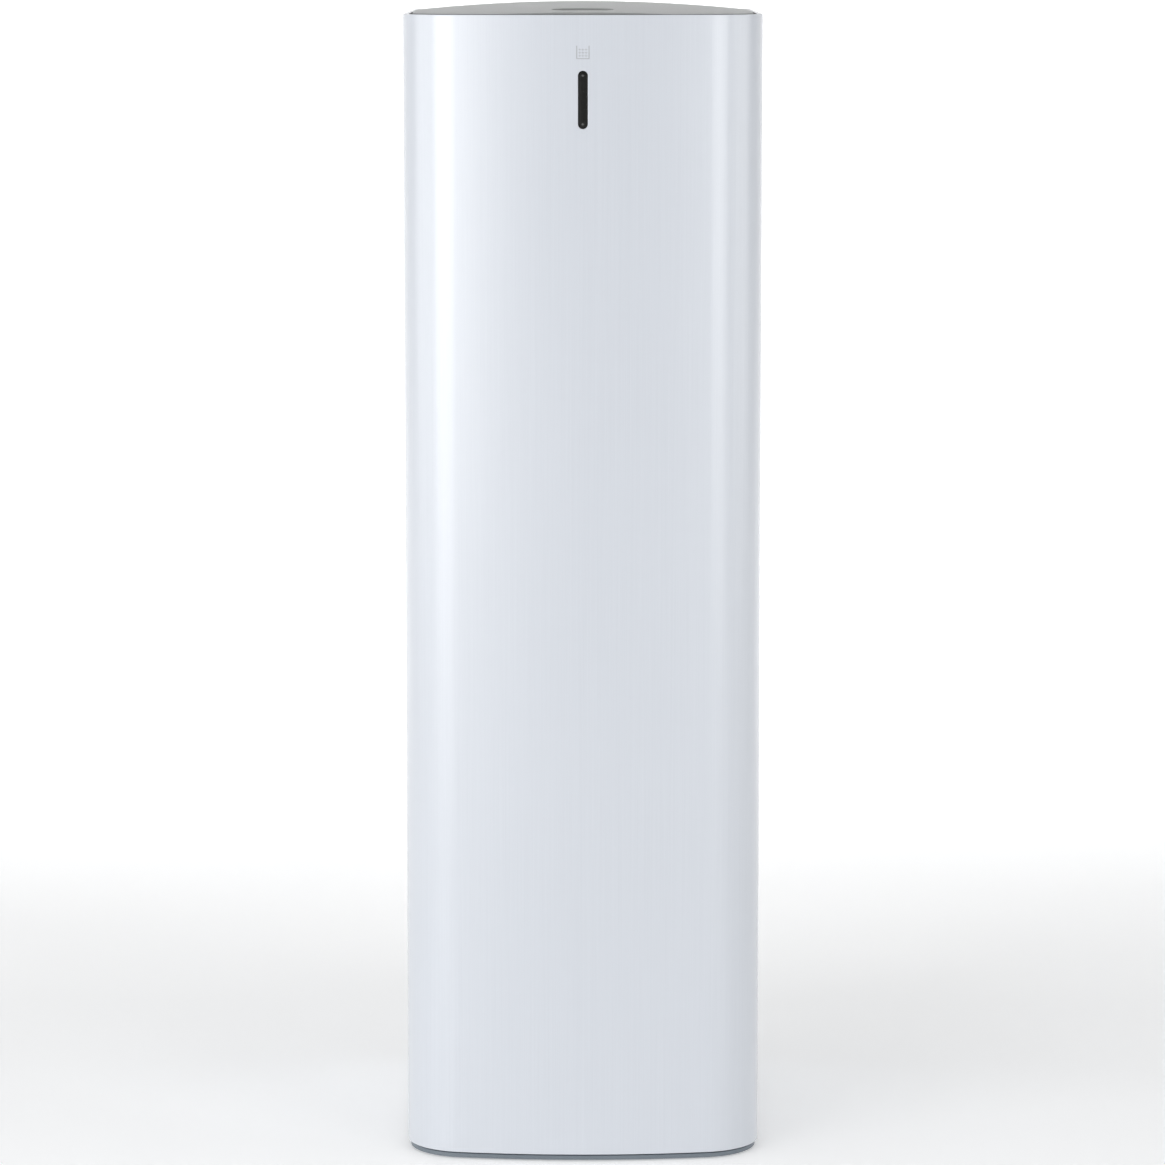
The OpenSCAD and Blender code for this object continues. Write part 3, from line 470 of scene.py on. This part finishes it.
EDGE = {"docking_well": 0.5, "hopper": 0.4, "filter_latch": 0.3, "cord_gland": 0.5,
        "top_deck": 0.4, "front_frame": 0.4, "bag_chamber": 0.5, "cover_liner": 0.6, "bag_collar": 0.5,
        "hepa_frame": 0.4, "filter_grid": 0.3, "inlet_flap": 0.25, "bag_rails": 0.4, "motor_housing": 0.4,
        "filter_housing": 0.4, "board_parts": 0.4, "dock_switch": 0.3, "screws": 0.25, "lid_liner": 0.3,
        "lid_latch": 0.3, "light_board": 0.15, "impeller": 0.2, "motor_can": 0.5, "inlet_duct": 0.4,
        "foam_filter": 0.8, "main_board": 0.15}
UNBEVELLED = (
    "hinge_springs", "flap_springs", "windings", "stator", "diffuser", "button_springs", "latch_spring",
)
for name, ob in N.items():
    ob.data.materials.clear()
    ob.data.materials.append(MAT[SLOT[name]])
    weld = ob.modifiers.new("weld", "WELD")
    weld.merge_threshold = 0.000002
    if name not in UNBEVELLED:
        bev = ob.modifiers.new("bevel", "BEVEL")
        bev.width = EDGE.get(name, 0.12) * MM
        bev.segments = 3
        bev.limit_method = "ANGLE"
        bev.angle_limit = math.radians(40)
        bev.harden_normals = True
        bev.use_clamp_overlap = True
    ob.data.polygons.foreach_set("use_smooth", [True] * len(ob.data.polygons))

# ------------------------------ shells with exact curvature

refined("front_cover", 0.35, x_step=7, z_step=13, snap=(0.0, SHELL_T))
refined("rear_body", 0.45, x_step=7, z_step=13, snap=(0.0, SHELL_T))
refined("base", 0.3, x_step=10, snap=(1.4, 3.2, 5.4))
refined("lid", 0.45, x_step=9, y_step=9)
refined("rear_strip", 0.45, x_step=9, y_step=9)
refined("exhaust_cover", 0.35, x_step=7, snap=(0.0, 2.4))
refined("lid_button", 0.45, x_step=2, y_step=2)
refined("front_frame", 0.35, x_step=8, snap=(4.2, 6.4))
refined("top_deck", 0.25, snap=(3.2,))
refined("lid_liner", 0.25)
refined("cover_liner", 0.4, x_step=8, snap=(2.9,))
refined("bag_chamber", 0.3)
refined("bag_collar", 0.3)
refined("hepa_frame", 0.3)
refined("docking_well", 0.3)
refined("filter_latch", 0.2)

# ------------------------------ printed mesh pictogram on the front cover

print_mat = Nodes("print_grey")
ink = print_mat.spread(print_mat.noise(900, 2), 0, 1)
ink = print_mat.tint(ink, (0.34, 0.35, 0.37), (0.39, 0.40, 0.42))
print_mat.link(ink, print_mat.bsdf.inputs["Base Color"])
print_mat.const(Roughness=0.5)


def front_y(x):
    return ARC_Y - math.sqrt(FRONT_R ** 2 - x * x)


def printed(name, strokes, thick=0.018):
    """Flat strokes printed on the bowed front: each is (x0, z0, x1, z1) in mm."""
    bm = bmesh.new()
    for x0, z0, x1, z1 in strokes:
        steps = max(1, int((x1 - x0) / 0.8))
        cols = []
        for i in range(steps + 1):
            x = x0 + (x1 - x0) * i / steps
            y = front_y(x)
            cols.append([bm.verts.new((x * MM, (y - thick) * MM, z * MM)) for z in (z0, z1)] +
                        [bm.verts.new((x * MM, (y + 0.05) * MM, z * MM)) for z in (z1, z0)])
        for a, b in zip(cols, cols[1:]):
            for i in range(4):
                bm.faces.new((a[i], b[i], b[(i + 1) % 4], a[(i + 1) % 4]))
        bm.faces.new(cols[0])
        bm.faces.new(list(reversed(cols[-1])))
    bmesh.ops.recalc_face_normals(bm, faces=bm.faces)
    me = bpy.data.meshes.new(name)
    bm.to_mesh(me)
    bm.free()
    return link(name, me, "front_panel", [print_mat.mat])


icon_top, icon_foot, icon_x, pen = 576.6, 569.9, 3.1, 0.42
strokes = [(-icon_x - pen / 2, icon_foot, -icon_x + pen / 2, icon_top),
           (icon_x - pen / 2, icon_foot, icon_x + pen / 2, icon_top),
           (-icon_x + pen / 2 + 0.01, icon_foot, icon_x - pen / 2 - 0.01, icon_foot + 0.8 * pen)]
grid_x, grid_z, line = (-1.55, 0.0, 1.55), (574.6, 573.05, 571.5), 0.13
for z in grid_z:
    strokes.append((-2.45, z - line / 2, 2.45, z + line / 2))
    for x in grid_x:
        strokes.append((x - 0.23, z - 0.23, x + 0.23, z + 0.23))
for x in grid_x:
    for z0, z1 in ((570.75, 571.26), (571.74, 572.81), (573.29, 574.36), (574.84, 575.35)):
        strokes.append((x - line / 2, z0, x + line / 2, z1))
printed("mesh_pictogram", strokes)

# ------------------------------ status light: near-black ring (painted shade of the gap round the lens) and lamp domes


def loft(name, rings, body, mats, closed=False):
    """Skin over equal rings of points, in mm. closed joins the last ring to the first."""
    bm = bmesh.new()
    rows = [[bm.verts.new(Vector(p) * MM) for p in ring] for ring in rings]
    n = len(rows[0])
    pairs = list(zip(rows, rows[1:])) + ([(rows[-1], rows[0])] if closed else [])
    for a, b in pairs:
        for i in range(n):
            j = (i + 1) % n
            bm.faces.new((a[i], b[i], b[j], a[j]))
    if not closed:
        bm.faces.new(rows[0])
        bm.faces.new(list(reversed(rows[-1])))
    bmesh.ops.recalc_face_normals(bm, faces=bm.faces)
    me = bpy.data.meshes.new(name)
    bm.to_mesh(me)
    bm.free()
    ob = link(name, me, body, mats)
    smooth(ob, 50)
    return ob


def pill_path(r, half, steps=20):
    """Outline of an upright pill: x, z and the outward direction."""
    out = []
    for top in (1, -1):
        for i in range(steps + 1):
            a = math.pi * i / steps + (0 if top == 1 else math.pi)
            out.append((r * math.cos(a), top * half + r * math.sin(a), math.cos(a), math.sin(a)))
    return out


# near-black ring round the lens: painted shade standing in for the shadow in the gap round the window
lens_gap_shade_mat = smoked("lens_gap_painted_shade", (0.0035, 0.004, 0.0035), (0.006, 0.0065, 0.006), (0.35, 0.45))
half = LIGHT_H / 2 - LIGHT_W / 2
rings = []
for x, z, nx, nz in pill_path(LIGHT_W / 2 - 0.32, half):
    ring = []
    for k in range(12):
        a = 2 * math.pi * k / 12
        ring.append((x + nx * 0.28 * math.cos(a), front_y(x) + 0.30 + 0.26 * math.sin(a),
                     LIGHT_Z + z + nz * 0.28 * math.cos(a)))
    rings.append(ring)
loft("light_gap_shade_ring", rings, "front_panel", [lens_gap_shade_mat], closed=True)

lamp_mat = Nodes("lamp_dome")
speck = lamp_mat.spread(lamp_mat.noise(400, 2), 0, 1)
lamp_mat.link(lamp_mat.tint(speck, (0.035, 0.037, 0.035), (0.055, 0.058, 0.055)),
              lamp_mat.bsdf.inputs["Base Color"])
lamp_mat.const(Roughness=0.16, Coat_Weight=0.3, Coat_Roughness=0.08)
for tag, side in (("upper", 1), ("lower", -1)):
    rings = []
    for k in range(9):
        a = math.radians(88 * k / 8)
        r, out = 0.75 * math.cos(a), 0.30 * math.sin(a)
        turns = [2 * math.pi * i / 28 for i in range(28)]
        middle = LIGHT_Z + side * (half + 0.1)
        rings.append([(r * math.cos(t), front_y(0) + 0.40 - out, middle + r * math.sin(t)) for t in turns])
    loft("lamp_dome_" + tag, rings, "front_panel", [lamp_mat.mat])

# ------------------------------ dark band in the gap round the lid: painted shade standing in for the gap's shadow


def outline(inset, y_end, steps=26, straight=12):
    """Points and outward normals along the plan outline, from the left side round the front to the right."""
    half_side = []
    r = CORNER_R - inset
    for i in range(straight):
        y = y_end + (-CORNER_Y - y_end) * i / straight
        half_side.append((BODY_W / 2 - inset, y, 1.0, 0.0))
    for i in range(steps):
        a = (math.pi / 2 - BOW_ANGLE) * i / steps
        half_side.append((CORNER_X + r * math.cos(a), -CORNER_Y - r * math.sin(a), math.cos(a), -math.sin(a)))
    bow = []
    big = FRONT_R - inset
    for i in range(2 * steps + 1):
        a = BOW_ANGLE * (1 - i / steps)
        bow.append((big * math.sin(a), ARC_Y - big * math.cos(a), math.sin(a), -math.cos(a)))
    return half_side + bow + [(-x, y, -nx, ny) for x, y, nx, ny in reversed(half_side)]


# a dark grey rubber band set in the gap where the lid meets the shell: painted shade in place of the gap's
# shadow
lid_gap_shade_mat = rubber("lid_gap_painted_shade", (0.085, 0.088, 0.09), (0.12, 0.123, 0.125))
section = [(0.0, 590.4), (0.16, 590.5), (0.32, 591.0), (0.38, 591.7), (0.30, 592.10), (0.16, 592.25),
           (0.0, 592.30), (-0.2, 592.24), (-0.3, 591.3), (-0.2, 590.5)]
rings = [[(x + nx * o, y + ny * o, z) for o, z in section] for x, y, nx, ny in outline(3.4, 66.0)]
loft("lid_gap_shade_band", rings, "lid_body", [lid_gap_shade_mat])

# ------------------------------ dust bag: cloth under pressure, then its seams

BAG_MID = Vector((0, -29, 250))


def cad_copy(node, name, voxel):
    """The CAD node's mesh as one even skin."""
    me = N[node].data.copy()
    me.name = name
    ob = link(name, me, BODY_OF[node], [MAT[SLOT[node]]])
    weld = ob.modifiers.new("weld", "WELD")
    weld.merge_threshold = 0.00001
    skin = ob.modifiers.new("skin", "REMESH")
    skin.mode, skin.voxel_size = "VOXEL", voxel * MM
    apply_modifiers(ob)
    return ob


bag = cad_copy("dust_bag", "dust_bag_cloth", 5.0)
start = []
for v in bag.data.vertices:
    c = v.co / MM - BAG_MID
    keep = 1.0 if v.co.z > 0.338 else 0.955
    v.co = (BAG_MID + Vector((c.x * keep, c.y * keep, c.z * (1.0 if keep == 1.0 else 0.985)))) * MM
    start.append(v.co.copy())
pin = bag.vertex_groups.new(name="neck")
pin.add([v.index for v in bag.data.vertices if v.co.z > 0.3395], 1.0, "REPLACE")
cloth = bag.modifiers.new("cloth", "CLOTH")
cs = cloth.settings
cs.quality = 6
cs.mass = 0.15
cs.tension_stiffness = cs.compression_stiffness = 18
cs.shear_stiffness = 8
cs.bending_stiffness = 0.35
cs.use_pressure = True
cs.uniform_pressure_force = 4.0
cs.shrink_min = -0.07
cs.vertex_group_mass = "neck"
cs.effector_weights.gravity = 0.0
cloth.point_cache.frame_start, cloth.point_cache.frame_end = 1, 20
for f in range(1, 21):
    bpy.context.scene.frame_set(f)
    bpy.context.view_layer.update()
shaped = bag.evaluated_get(bpy.context.evaluated_depsgraph_get()).to_mesh()
moved = [v.co.copy() for v in shaped.vertices]
bag.evaluated_get(bpy.context.evaluated_depsgraph_get()).to_mesh_clear()
bag.modifiers.clear()
bpy.context.scene.frame_set(1)
for v, a, b in zip(bag.data.vertices, start, moved):
    d = b - a
    if d.length > 0.006:
        d = d.normalized() * (0.006 + 0.25 * min(0.008, d.length - 0.006))
    v.co = a + d
for v in bag.data.vertices:
    n = v.normal.copy()
    crease = perlin(v.co * 38) * 0.9 + perlin(v.co * Vector((90, 90, 30))) * 0.5
    fade = min(1.0, max(0.0, (0.340 - v.co.z) / 0.02))
    v.co += n * crease * fade * MM
    v.co.x = max(-0.0635, min(0.0635, v.co.x))
    v.co.y = max(-0.0945, min(0.0365, v.co.y))
    v.co.z = max(0.1700, min(0.3484, v.co.z))
sub = bag.modifiers.new("fine", "SUBSURF")
sub.levels = sub.render_levels = 1
apply_modifiers(bag)
smooth(bag, 60)
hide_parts("dust_bag")


def skin_hit(ob, origin, direction):
    """Where a ray from the inside meets the piece, in mm."""
    ok, at, no, _ = ob.ray_cast(Vector(origin) * MM, Vector(direction))
    return at / MM if ok else None


# The welded flange's outline, as (outwards, sideways) pairs.
SEAM_SECTION = (
    (-2.0, -0.55), (0.6, -0.5), (2.0, -0.38), (2.4, 0.0), (2.0, 0.38), (0.6, 0.5), (-2.0, 0.55),
)
for tag, y in (("front", -64.0), ("rear", 6.0)):
    hits = []
    for i in range(261):
        a = math.radians(-90 - 128 + 256 * i / 260)
        d = Vector((math.cos(a), 0, math.sin(a)))
        hit = skin_hit(bag, (0, y, 250), d)
        if hit is not None and hit.z < 331:
            hits.append([hit, d])
    radii = [(h - Vector((0, y, 250))).length for h, d in hits]
    rings = []
    for i, (hit, d) in enumerate(hits):
        span = radii[max(0, i - 3):i + 4]
        at = Vector((0, y, 250)) + d * max(sum(span) / len(span), radii[i] - 0.2)
        ring = []
        for w, t in SEAM_SECTION:
            q = at + d * w + Vector((0, t * 1.3, 0))
            q.x = max(-65.2, min(65.2, q.x))
            q.z = max(168.2, q.z)
            ring.append(q)
        rings.append(ring)
    loft("bag_seam_" + tag, rings, "bag", [MAT["bag_fabric"]])

# ------------------------------ foam pre-filter with an uneven open-cell skin

pad = cad_copy("foam_filter", "foam_filter_pad", 1.6)
for v in pad.data.vertices:
    n = v.normal.copy()
    v.co -= n * (0.16 + 0.16 * perlin(v.co * 900) + 0.12 * perlin(v.co * 240)) * MM
smooth(pad, 60)
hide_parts("foam_filter")

# ------------------------------ button and latch springs as welded, smoothed coils

for node, joint, axis, anchor, keep in (
        ("button_springs", "lid_button_press", (0, 0, 1), (0, BUTTON_Y, 583.3), 0.60),
        ("latch_spring", "lid_latch_slide", (0, 1, 0), (0, BUTTON_Y + 24.4, 585.0), 0.80)):
    bm = bmesh.new()
    bm.from_mesh(N[node].data)
    bmesh.ops.remove_doubles(bm, verts=bm.verts, dist=0.000002)
    me = bpy.data.meshes.new(node + "_coils")
    bm.to_mesh(me)
    bm.free()
    coils = link(node + "_coils", me, "lid_body", [MAT["steel"]])
    fine = coils.modifiers.new("round", "SUBSURF")
    fine.levels = fine.render_levels = 1
    apply_modifiers(coils)
    smooth(coils, 60)
    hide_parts(node)
    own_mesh(coils)

# ------------------------------ torsion springs and stator coils as real wire


def wire(bm, path, radius, sides=10, closed=False):
    """Add a round wire along the points of path, in mm, to bm."""
    n = len(path)
    normal = None
    rows = []
    for i in range(n):
        ahead = path[(i + 1) % n] if closed or i + 1 < n else path[i]
        behind = path[i - 1] if closed or i > 0 else path[i]
        along = (ahead - behind).normalized()
        if normal is None:
            normal = along.orthogonal().normalized()
        normal = (normal - along * normal.dot(along)).normalized()
        side = along.cross(normal)
        rows.append([bm.verts.new((path[i] + radius * (normal * math.cos(2 * math.pi * k / sides) +
                                                       side * math.sin(2 * math.pi * k / sides))) * MM)
                     for k in range(sides)])
    for i in range(n if closed else n - 1):
        a, b = rows[i], rows[(i + 1) % n]
        turn = 0
        if closed and i == n - 1:
            turn = min(range(sides), key=lambda k: (b[k].co - a[0].co).length)
        for k in range(sides):
            j = (k + 1) % sides
            bm.faces.new((a[k], a[j], b[(j + turn) % sides], b[(k + turn) % sides]))
    if not closed:
        bm.faces.new(rows[0])
        bm.faces.new(list(reversed(rows[-1])))


def wire_piece(name, node, bm, mat):
    bmesh.ops.recalc_face_normals(bm, faces=bm.faces)
    me = bpy.data.meshes.new(name)
    bm.to_mesh(me)
    bm.free()
    ob = link(name, me, BODY_OF[node], [mat])
    smooth(ob, 50)
    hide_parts(node)


for name, node, x0, pitch, turns, centre, coil_r, wire_r in (
        ("hinge_spring_wire", "hinge_springs", 42.0, 1.15, 5, (84.0, 587.0), 2.5, 0.48),
        ("flap_spring_wire", "flap_springs", 16.0, 0.85, 4, (4.6, 399.6), 1.45, 0.33)):
    bm = bmesh.new()
    for side in (-1, 1):
        path = []
        for i in range(turns * 28 + 1):
            a = 2 * math.pi * i / 28
            path.append(Vector((side * (x0 + pitch * i / 28), centre[0] + coil_r * math.cos(a),
                                centre[1] + coil_r * math.sin(a))))
        wire(bm, path, wire_r)
    wire_piece(name, node, bm, MAT["steel"])

for node in ("stator", "diffuser"):
    bm = bmesh.new()
    bm.from_mesh(N[node].data)
    bmesh.ops.remove_doubles(bm, verts=bm.verts, dist=0.000002)
    wire_piece(node + "_welded", node, bm, MAT[SLOT[node]])

enamel = moulded("enamelled_copper", (0.42, 0.15, 0.05), (0.62, 0.25, 0.09), (0.24, 0.34), 1800, 0.00001, 0.4)
FAN_Y = -20.0
bm = bmesh.new()
for pole in range(6):
    turned_by = math.radians(60 * pole)
    out = Vector((math.cos(turned_by), math.sin(turned_by), 0))
    across = Vector((-out.y, out.x, 0))
    for layer in range(4):
        half_w, half_h, corner = 3.6 + 0.31 + 0.62 * layer, 17.1 + 0.31 + 0.62 * layer, 0.5 + 0.62 * layer
        for k in range(5):
            centre = Vector((0, FAN_Y, 77.0)) + out * (16.4 + 0.33 + 0.63 * k)
            path = []
            for cx, cz, a0 in ((1, 1, 0), (-1, 1, 90), (-1, -1, 180), (1, -1, 270)):
                for step in range(5):
                    a = math.radians(a0 + 22.5 * step)
                    path.append(centre + across * (cx * (half_w - corner) + corner * math.cos(a)) +
                                Vector((0, 0, cz * (half_h - corner) + corner * math.sin(a))))
            wire(bm, path, 0.305, 8, closed=True)
wire_piece("stator_coils", "windings", bm, enamel)

# ------------------------------ screws with domed heads and cross recesses


SHANK_R, THREAD = 1.9, 0.6


def turned(profile, at, sides=40):
    """A solid of revolution about a vertical axis; profile is (radius, height) from the axis to the axis."""
    bm = bmesh.new()
    rows = []
    for r, z in profile:
        if r < 1e-6:
            rows.append([bm.verts.new(Vector((at[0], at[1], at[2] + z)) * MM)])
        else:
            rows.append([bm.verts.new(Vector((at[0] + r * math.cos(2 * math.pi * i / sides),
                                              at[1] + r * math.sin(2 * math.pi * i / sides), at[2] + z)) * MM)
                         for i in range(sides)])
    for a, b in zip(rows, rows[1:]):
        for i in range(sides):
            j = (i + 1) % sides
            quad = [a[i % len(a)], a[j % len(a)], b[j % len(b)], b[i % len(b)]]
            bm.faces.new([v for k, v in enumerate(quad) if v not in quad[:k]])
    bmesh.ops.recalc_face_normals(bm, faces=bm.faces)
    return bm


def cross(at, direction):
    """Cutter for a cross recess, tapering into the head."""
    bm = bmesh.new()
    for long_x in (True, False):
        made = bmesh.ops.create_cube(bm, size=1.0)["verts"]
        for v in made:
            deep = v.co.z * direction < 0
            half_l, half_w = (1.25, 0.30) if deep else (1.75, 0.44)
            sx, sy = math.copysign(1, v.co.x), math.copysign(1, v.co.y)
            hx, hy = (half_l, half_w) if long_x else (half_w, half_l)
            rise = direction * (-1.1 if deep else 1.0)
            v.co = Vector((at[0] + sx * hx, at[1] + sy * hy, at[2] + rise)) * MM
    bmesh.ops.recalc_face_normals(bm, faces=bm.faces)
    return bm


def screw(name, at, head_r, head_h, shank, direction):
    """One screw; at is the seat of its head, and direction is +1 when the head is on top."""
    d = direction
    head = [(0.0, d * head_h), (head_r * 0.45, d * head_h * 0.985), (head_r * 0.80, d * head_h * 0.88),
            (head_r * 0.96, d * head_h * 0.62), (head_r, d * head_h * 0.30), (head_r * 0.985, d * 0.04),
            (head_r * 0.95, 0.0), (SHANK_R, 0.0)]
    turns = int(shank / THREAD)
    for i in range(1, turns):
        head.append((SHANK_R if i % 2 else 1.55, -d * i * THREAD))
    head += [(1.5, -d * shank), (0.0, -d * shank)]
    bm = turned(head, at)
    me = bpy.data.meshes.new(name)
    bm.to_mesh(me)
    bm.free()
    ob = link(name, me, "housing", [MAT["steel"]])
    cut = cross((at[0], at[1], at[2] + d * head_h), d)
    cm = bpy.data.meshes.new("cutter")
    cut.to_mesh(cm)
    cut.free()
    cutter = bpy.data.objects.new("cutter", cm)
    bpy.context.scene.collection.objects.link(cutter)
    mod = ob.modifiers.new("recess", "BOOLEAN")
    mod.operation, mod.solver, mod.object, mod.use_self = "DIFFERENCE", "EXACT", cutter, True
    apply_modifiers(ob)
    bpy.data.objects.remove(cutter)
    smooth(ob, 32)
    return ob


DECK_TOP = 578.0
for i, (x, y) in enumerate(((-80, -60), (80, -60), (-82, 60), (82, 60))):
    screw("deck_screw_%d" % (i + 1), (x, y, DECK_TOP), 3.6, 1.8, 13.0, 1)
    screw("base_screw_%d" % (i + 1), (x, y, 3.2), 3.8, 2.4, 26.0, -1)
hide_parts("screws")

# ------------------------------ stage, light, camera

floor_mat = Nodes("studio_floor")
paper = floor_mat.spread(floor_mat.noise(3, 3), 0, 1)
paper = floor_mat.tint(paper, (0.86, 0.865, 0.87), (0.89, 0.895, 0.90))
floor_mat.link(paper, floor_mat.bsdf.inputs["Base Color"])
floor_mat.const(Roughness=0.8, Specular_IOR_Level=0.1, Emission_Color=(1, 1, 1, 1), Emission_Strength=0.29)
COVE_Y, COVE_R, FLOOR_Z, STAGE = 3.0, 2.5, -0.0001, 9.0
rows = [(-STAGE, FLOOR_Z), (COVE_Y, FLOOR_Z)]
for deg in range(6, 91, 6):
    a = math.radians(deg)
    rows.append((COVE_Y + COVE_R * math.sin(a), COVE_R - COVE_R * math.cos(a)))
rows.append((COVE_Y + COVE_R, STAGE))
me = bpy.data.meshes.new("studio_floor")
me.from_pydata([(x, y, z) for y, z in rows for x in (-STAGE, STAGE)], [],
               [(2 * i, 2 * i + 1, 2 * i + 3, 2 * i + 2) for i in range(len(rows) - 1)])
me.polygons.foreach_set("use_smooth", [True] * len(me.polygons))
link("studio_floor", me, mats=[floor_mat.mat])

world = bpy.data.worlds.new("studio")
bpy.context.scene.world = world
world.use_nodes = True
wt = world.node_tree
bg = wt.nodes["Background"]
path = wt.nodes.new("ShaderNodeLightPath")
level = wt.nodes.new("ShaderNodeMapRange")
wt.links.new(path.outputs["Is Camera Ray"], level.inputs["Value"])
level.inputs["To Min"].default_value = 0.04
level.inputs["To Max"].default_value = 1.0
wt.links.new(level.outputs["Result"], bg.inputs["Strength"])
bg.inputs["Color"].default_value = (1.0, 1.0, 1.0, 1)


def area(name, azimuth, distance, z, w, h, radiance, aim_z=0.32, colour=(1, 1, 1)):
    """A softbox that looks at the object. Azimuth runs from the front towards the right, in degrees."""
    d = bpy.data.lights.new(name, "AREA")
    d.shape, d.size, d.size_y = "RECTANGLE", w, h
    d.energy, d.color = radiance * math.pi * w * h, colour
    ob = bpy.data.objects.new(name, d)
    bpy.context.scene.collection.objects.link(ob)
    a = math.radians(azimuth)
    place = Vector((math.sin(a) * distance, -math.cos(a) * distance, z))
    ob.location = place
    ob.rotation_euler = (Vector((0, 0, aim_z)) - place).to_track_quat("-Z", "Y").to_euler()
    return ob


area("softbox_left", -39, 3.0, 0.72, 2.3, 1.4, 4.9, 0.72)
area("softbox_left_side", -84, 3.0, 1.3, 1.9, 2.5, 1.8, 1.3)
area("softbox_right", 37, 3.0, 0.85, 1.5, 1.6, 3.0, 0.85)
area("softbox_right_side", 82, 3.0, 1.3, 2.0, 2.5, 1.7, 1.3)
area("softbox_top", 0, 0.4, 2.8, 2.4, 2.4, 0.94)
backdrop = area("softbox_backdrop", 180, 1.3, 2.6, 5.0, 1.2, 7.5)
backdrop.rotation_euler = (math.radians(68), 0, 0)

cam_data = bpy.data.cameras.new("camera")
cam = bpy.data.objects.new("camera", cam_data)
bpy.context.scene.collection.objects.link(cam)
cam_data.sensor_width = 36
cam_data.lens = 146.35
cam_data.clip_start, cam_data.clip_end = 0.05, 50
cam.location = (-0.0002, -2.526, 0.6273)
cam.rotation_euler = (math.radians(90 - 7.677), 0, 0)
bpy.context.scene.camera = cam

sc = bpy.context.scene
sc.view_settings.view_transform = "Standard"
sc.view_settings.look = "None"
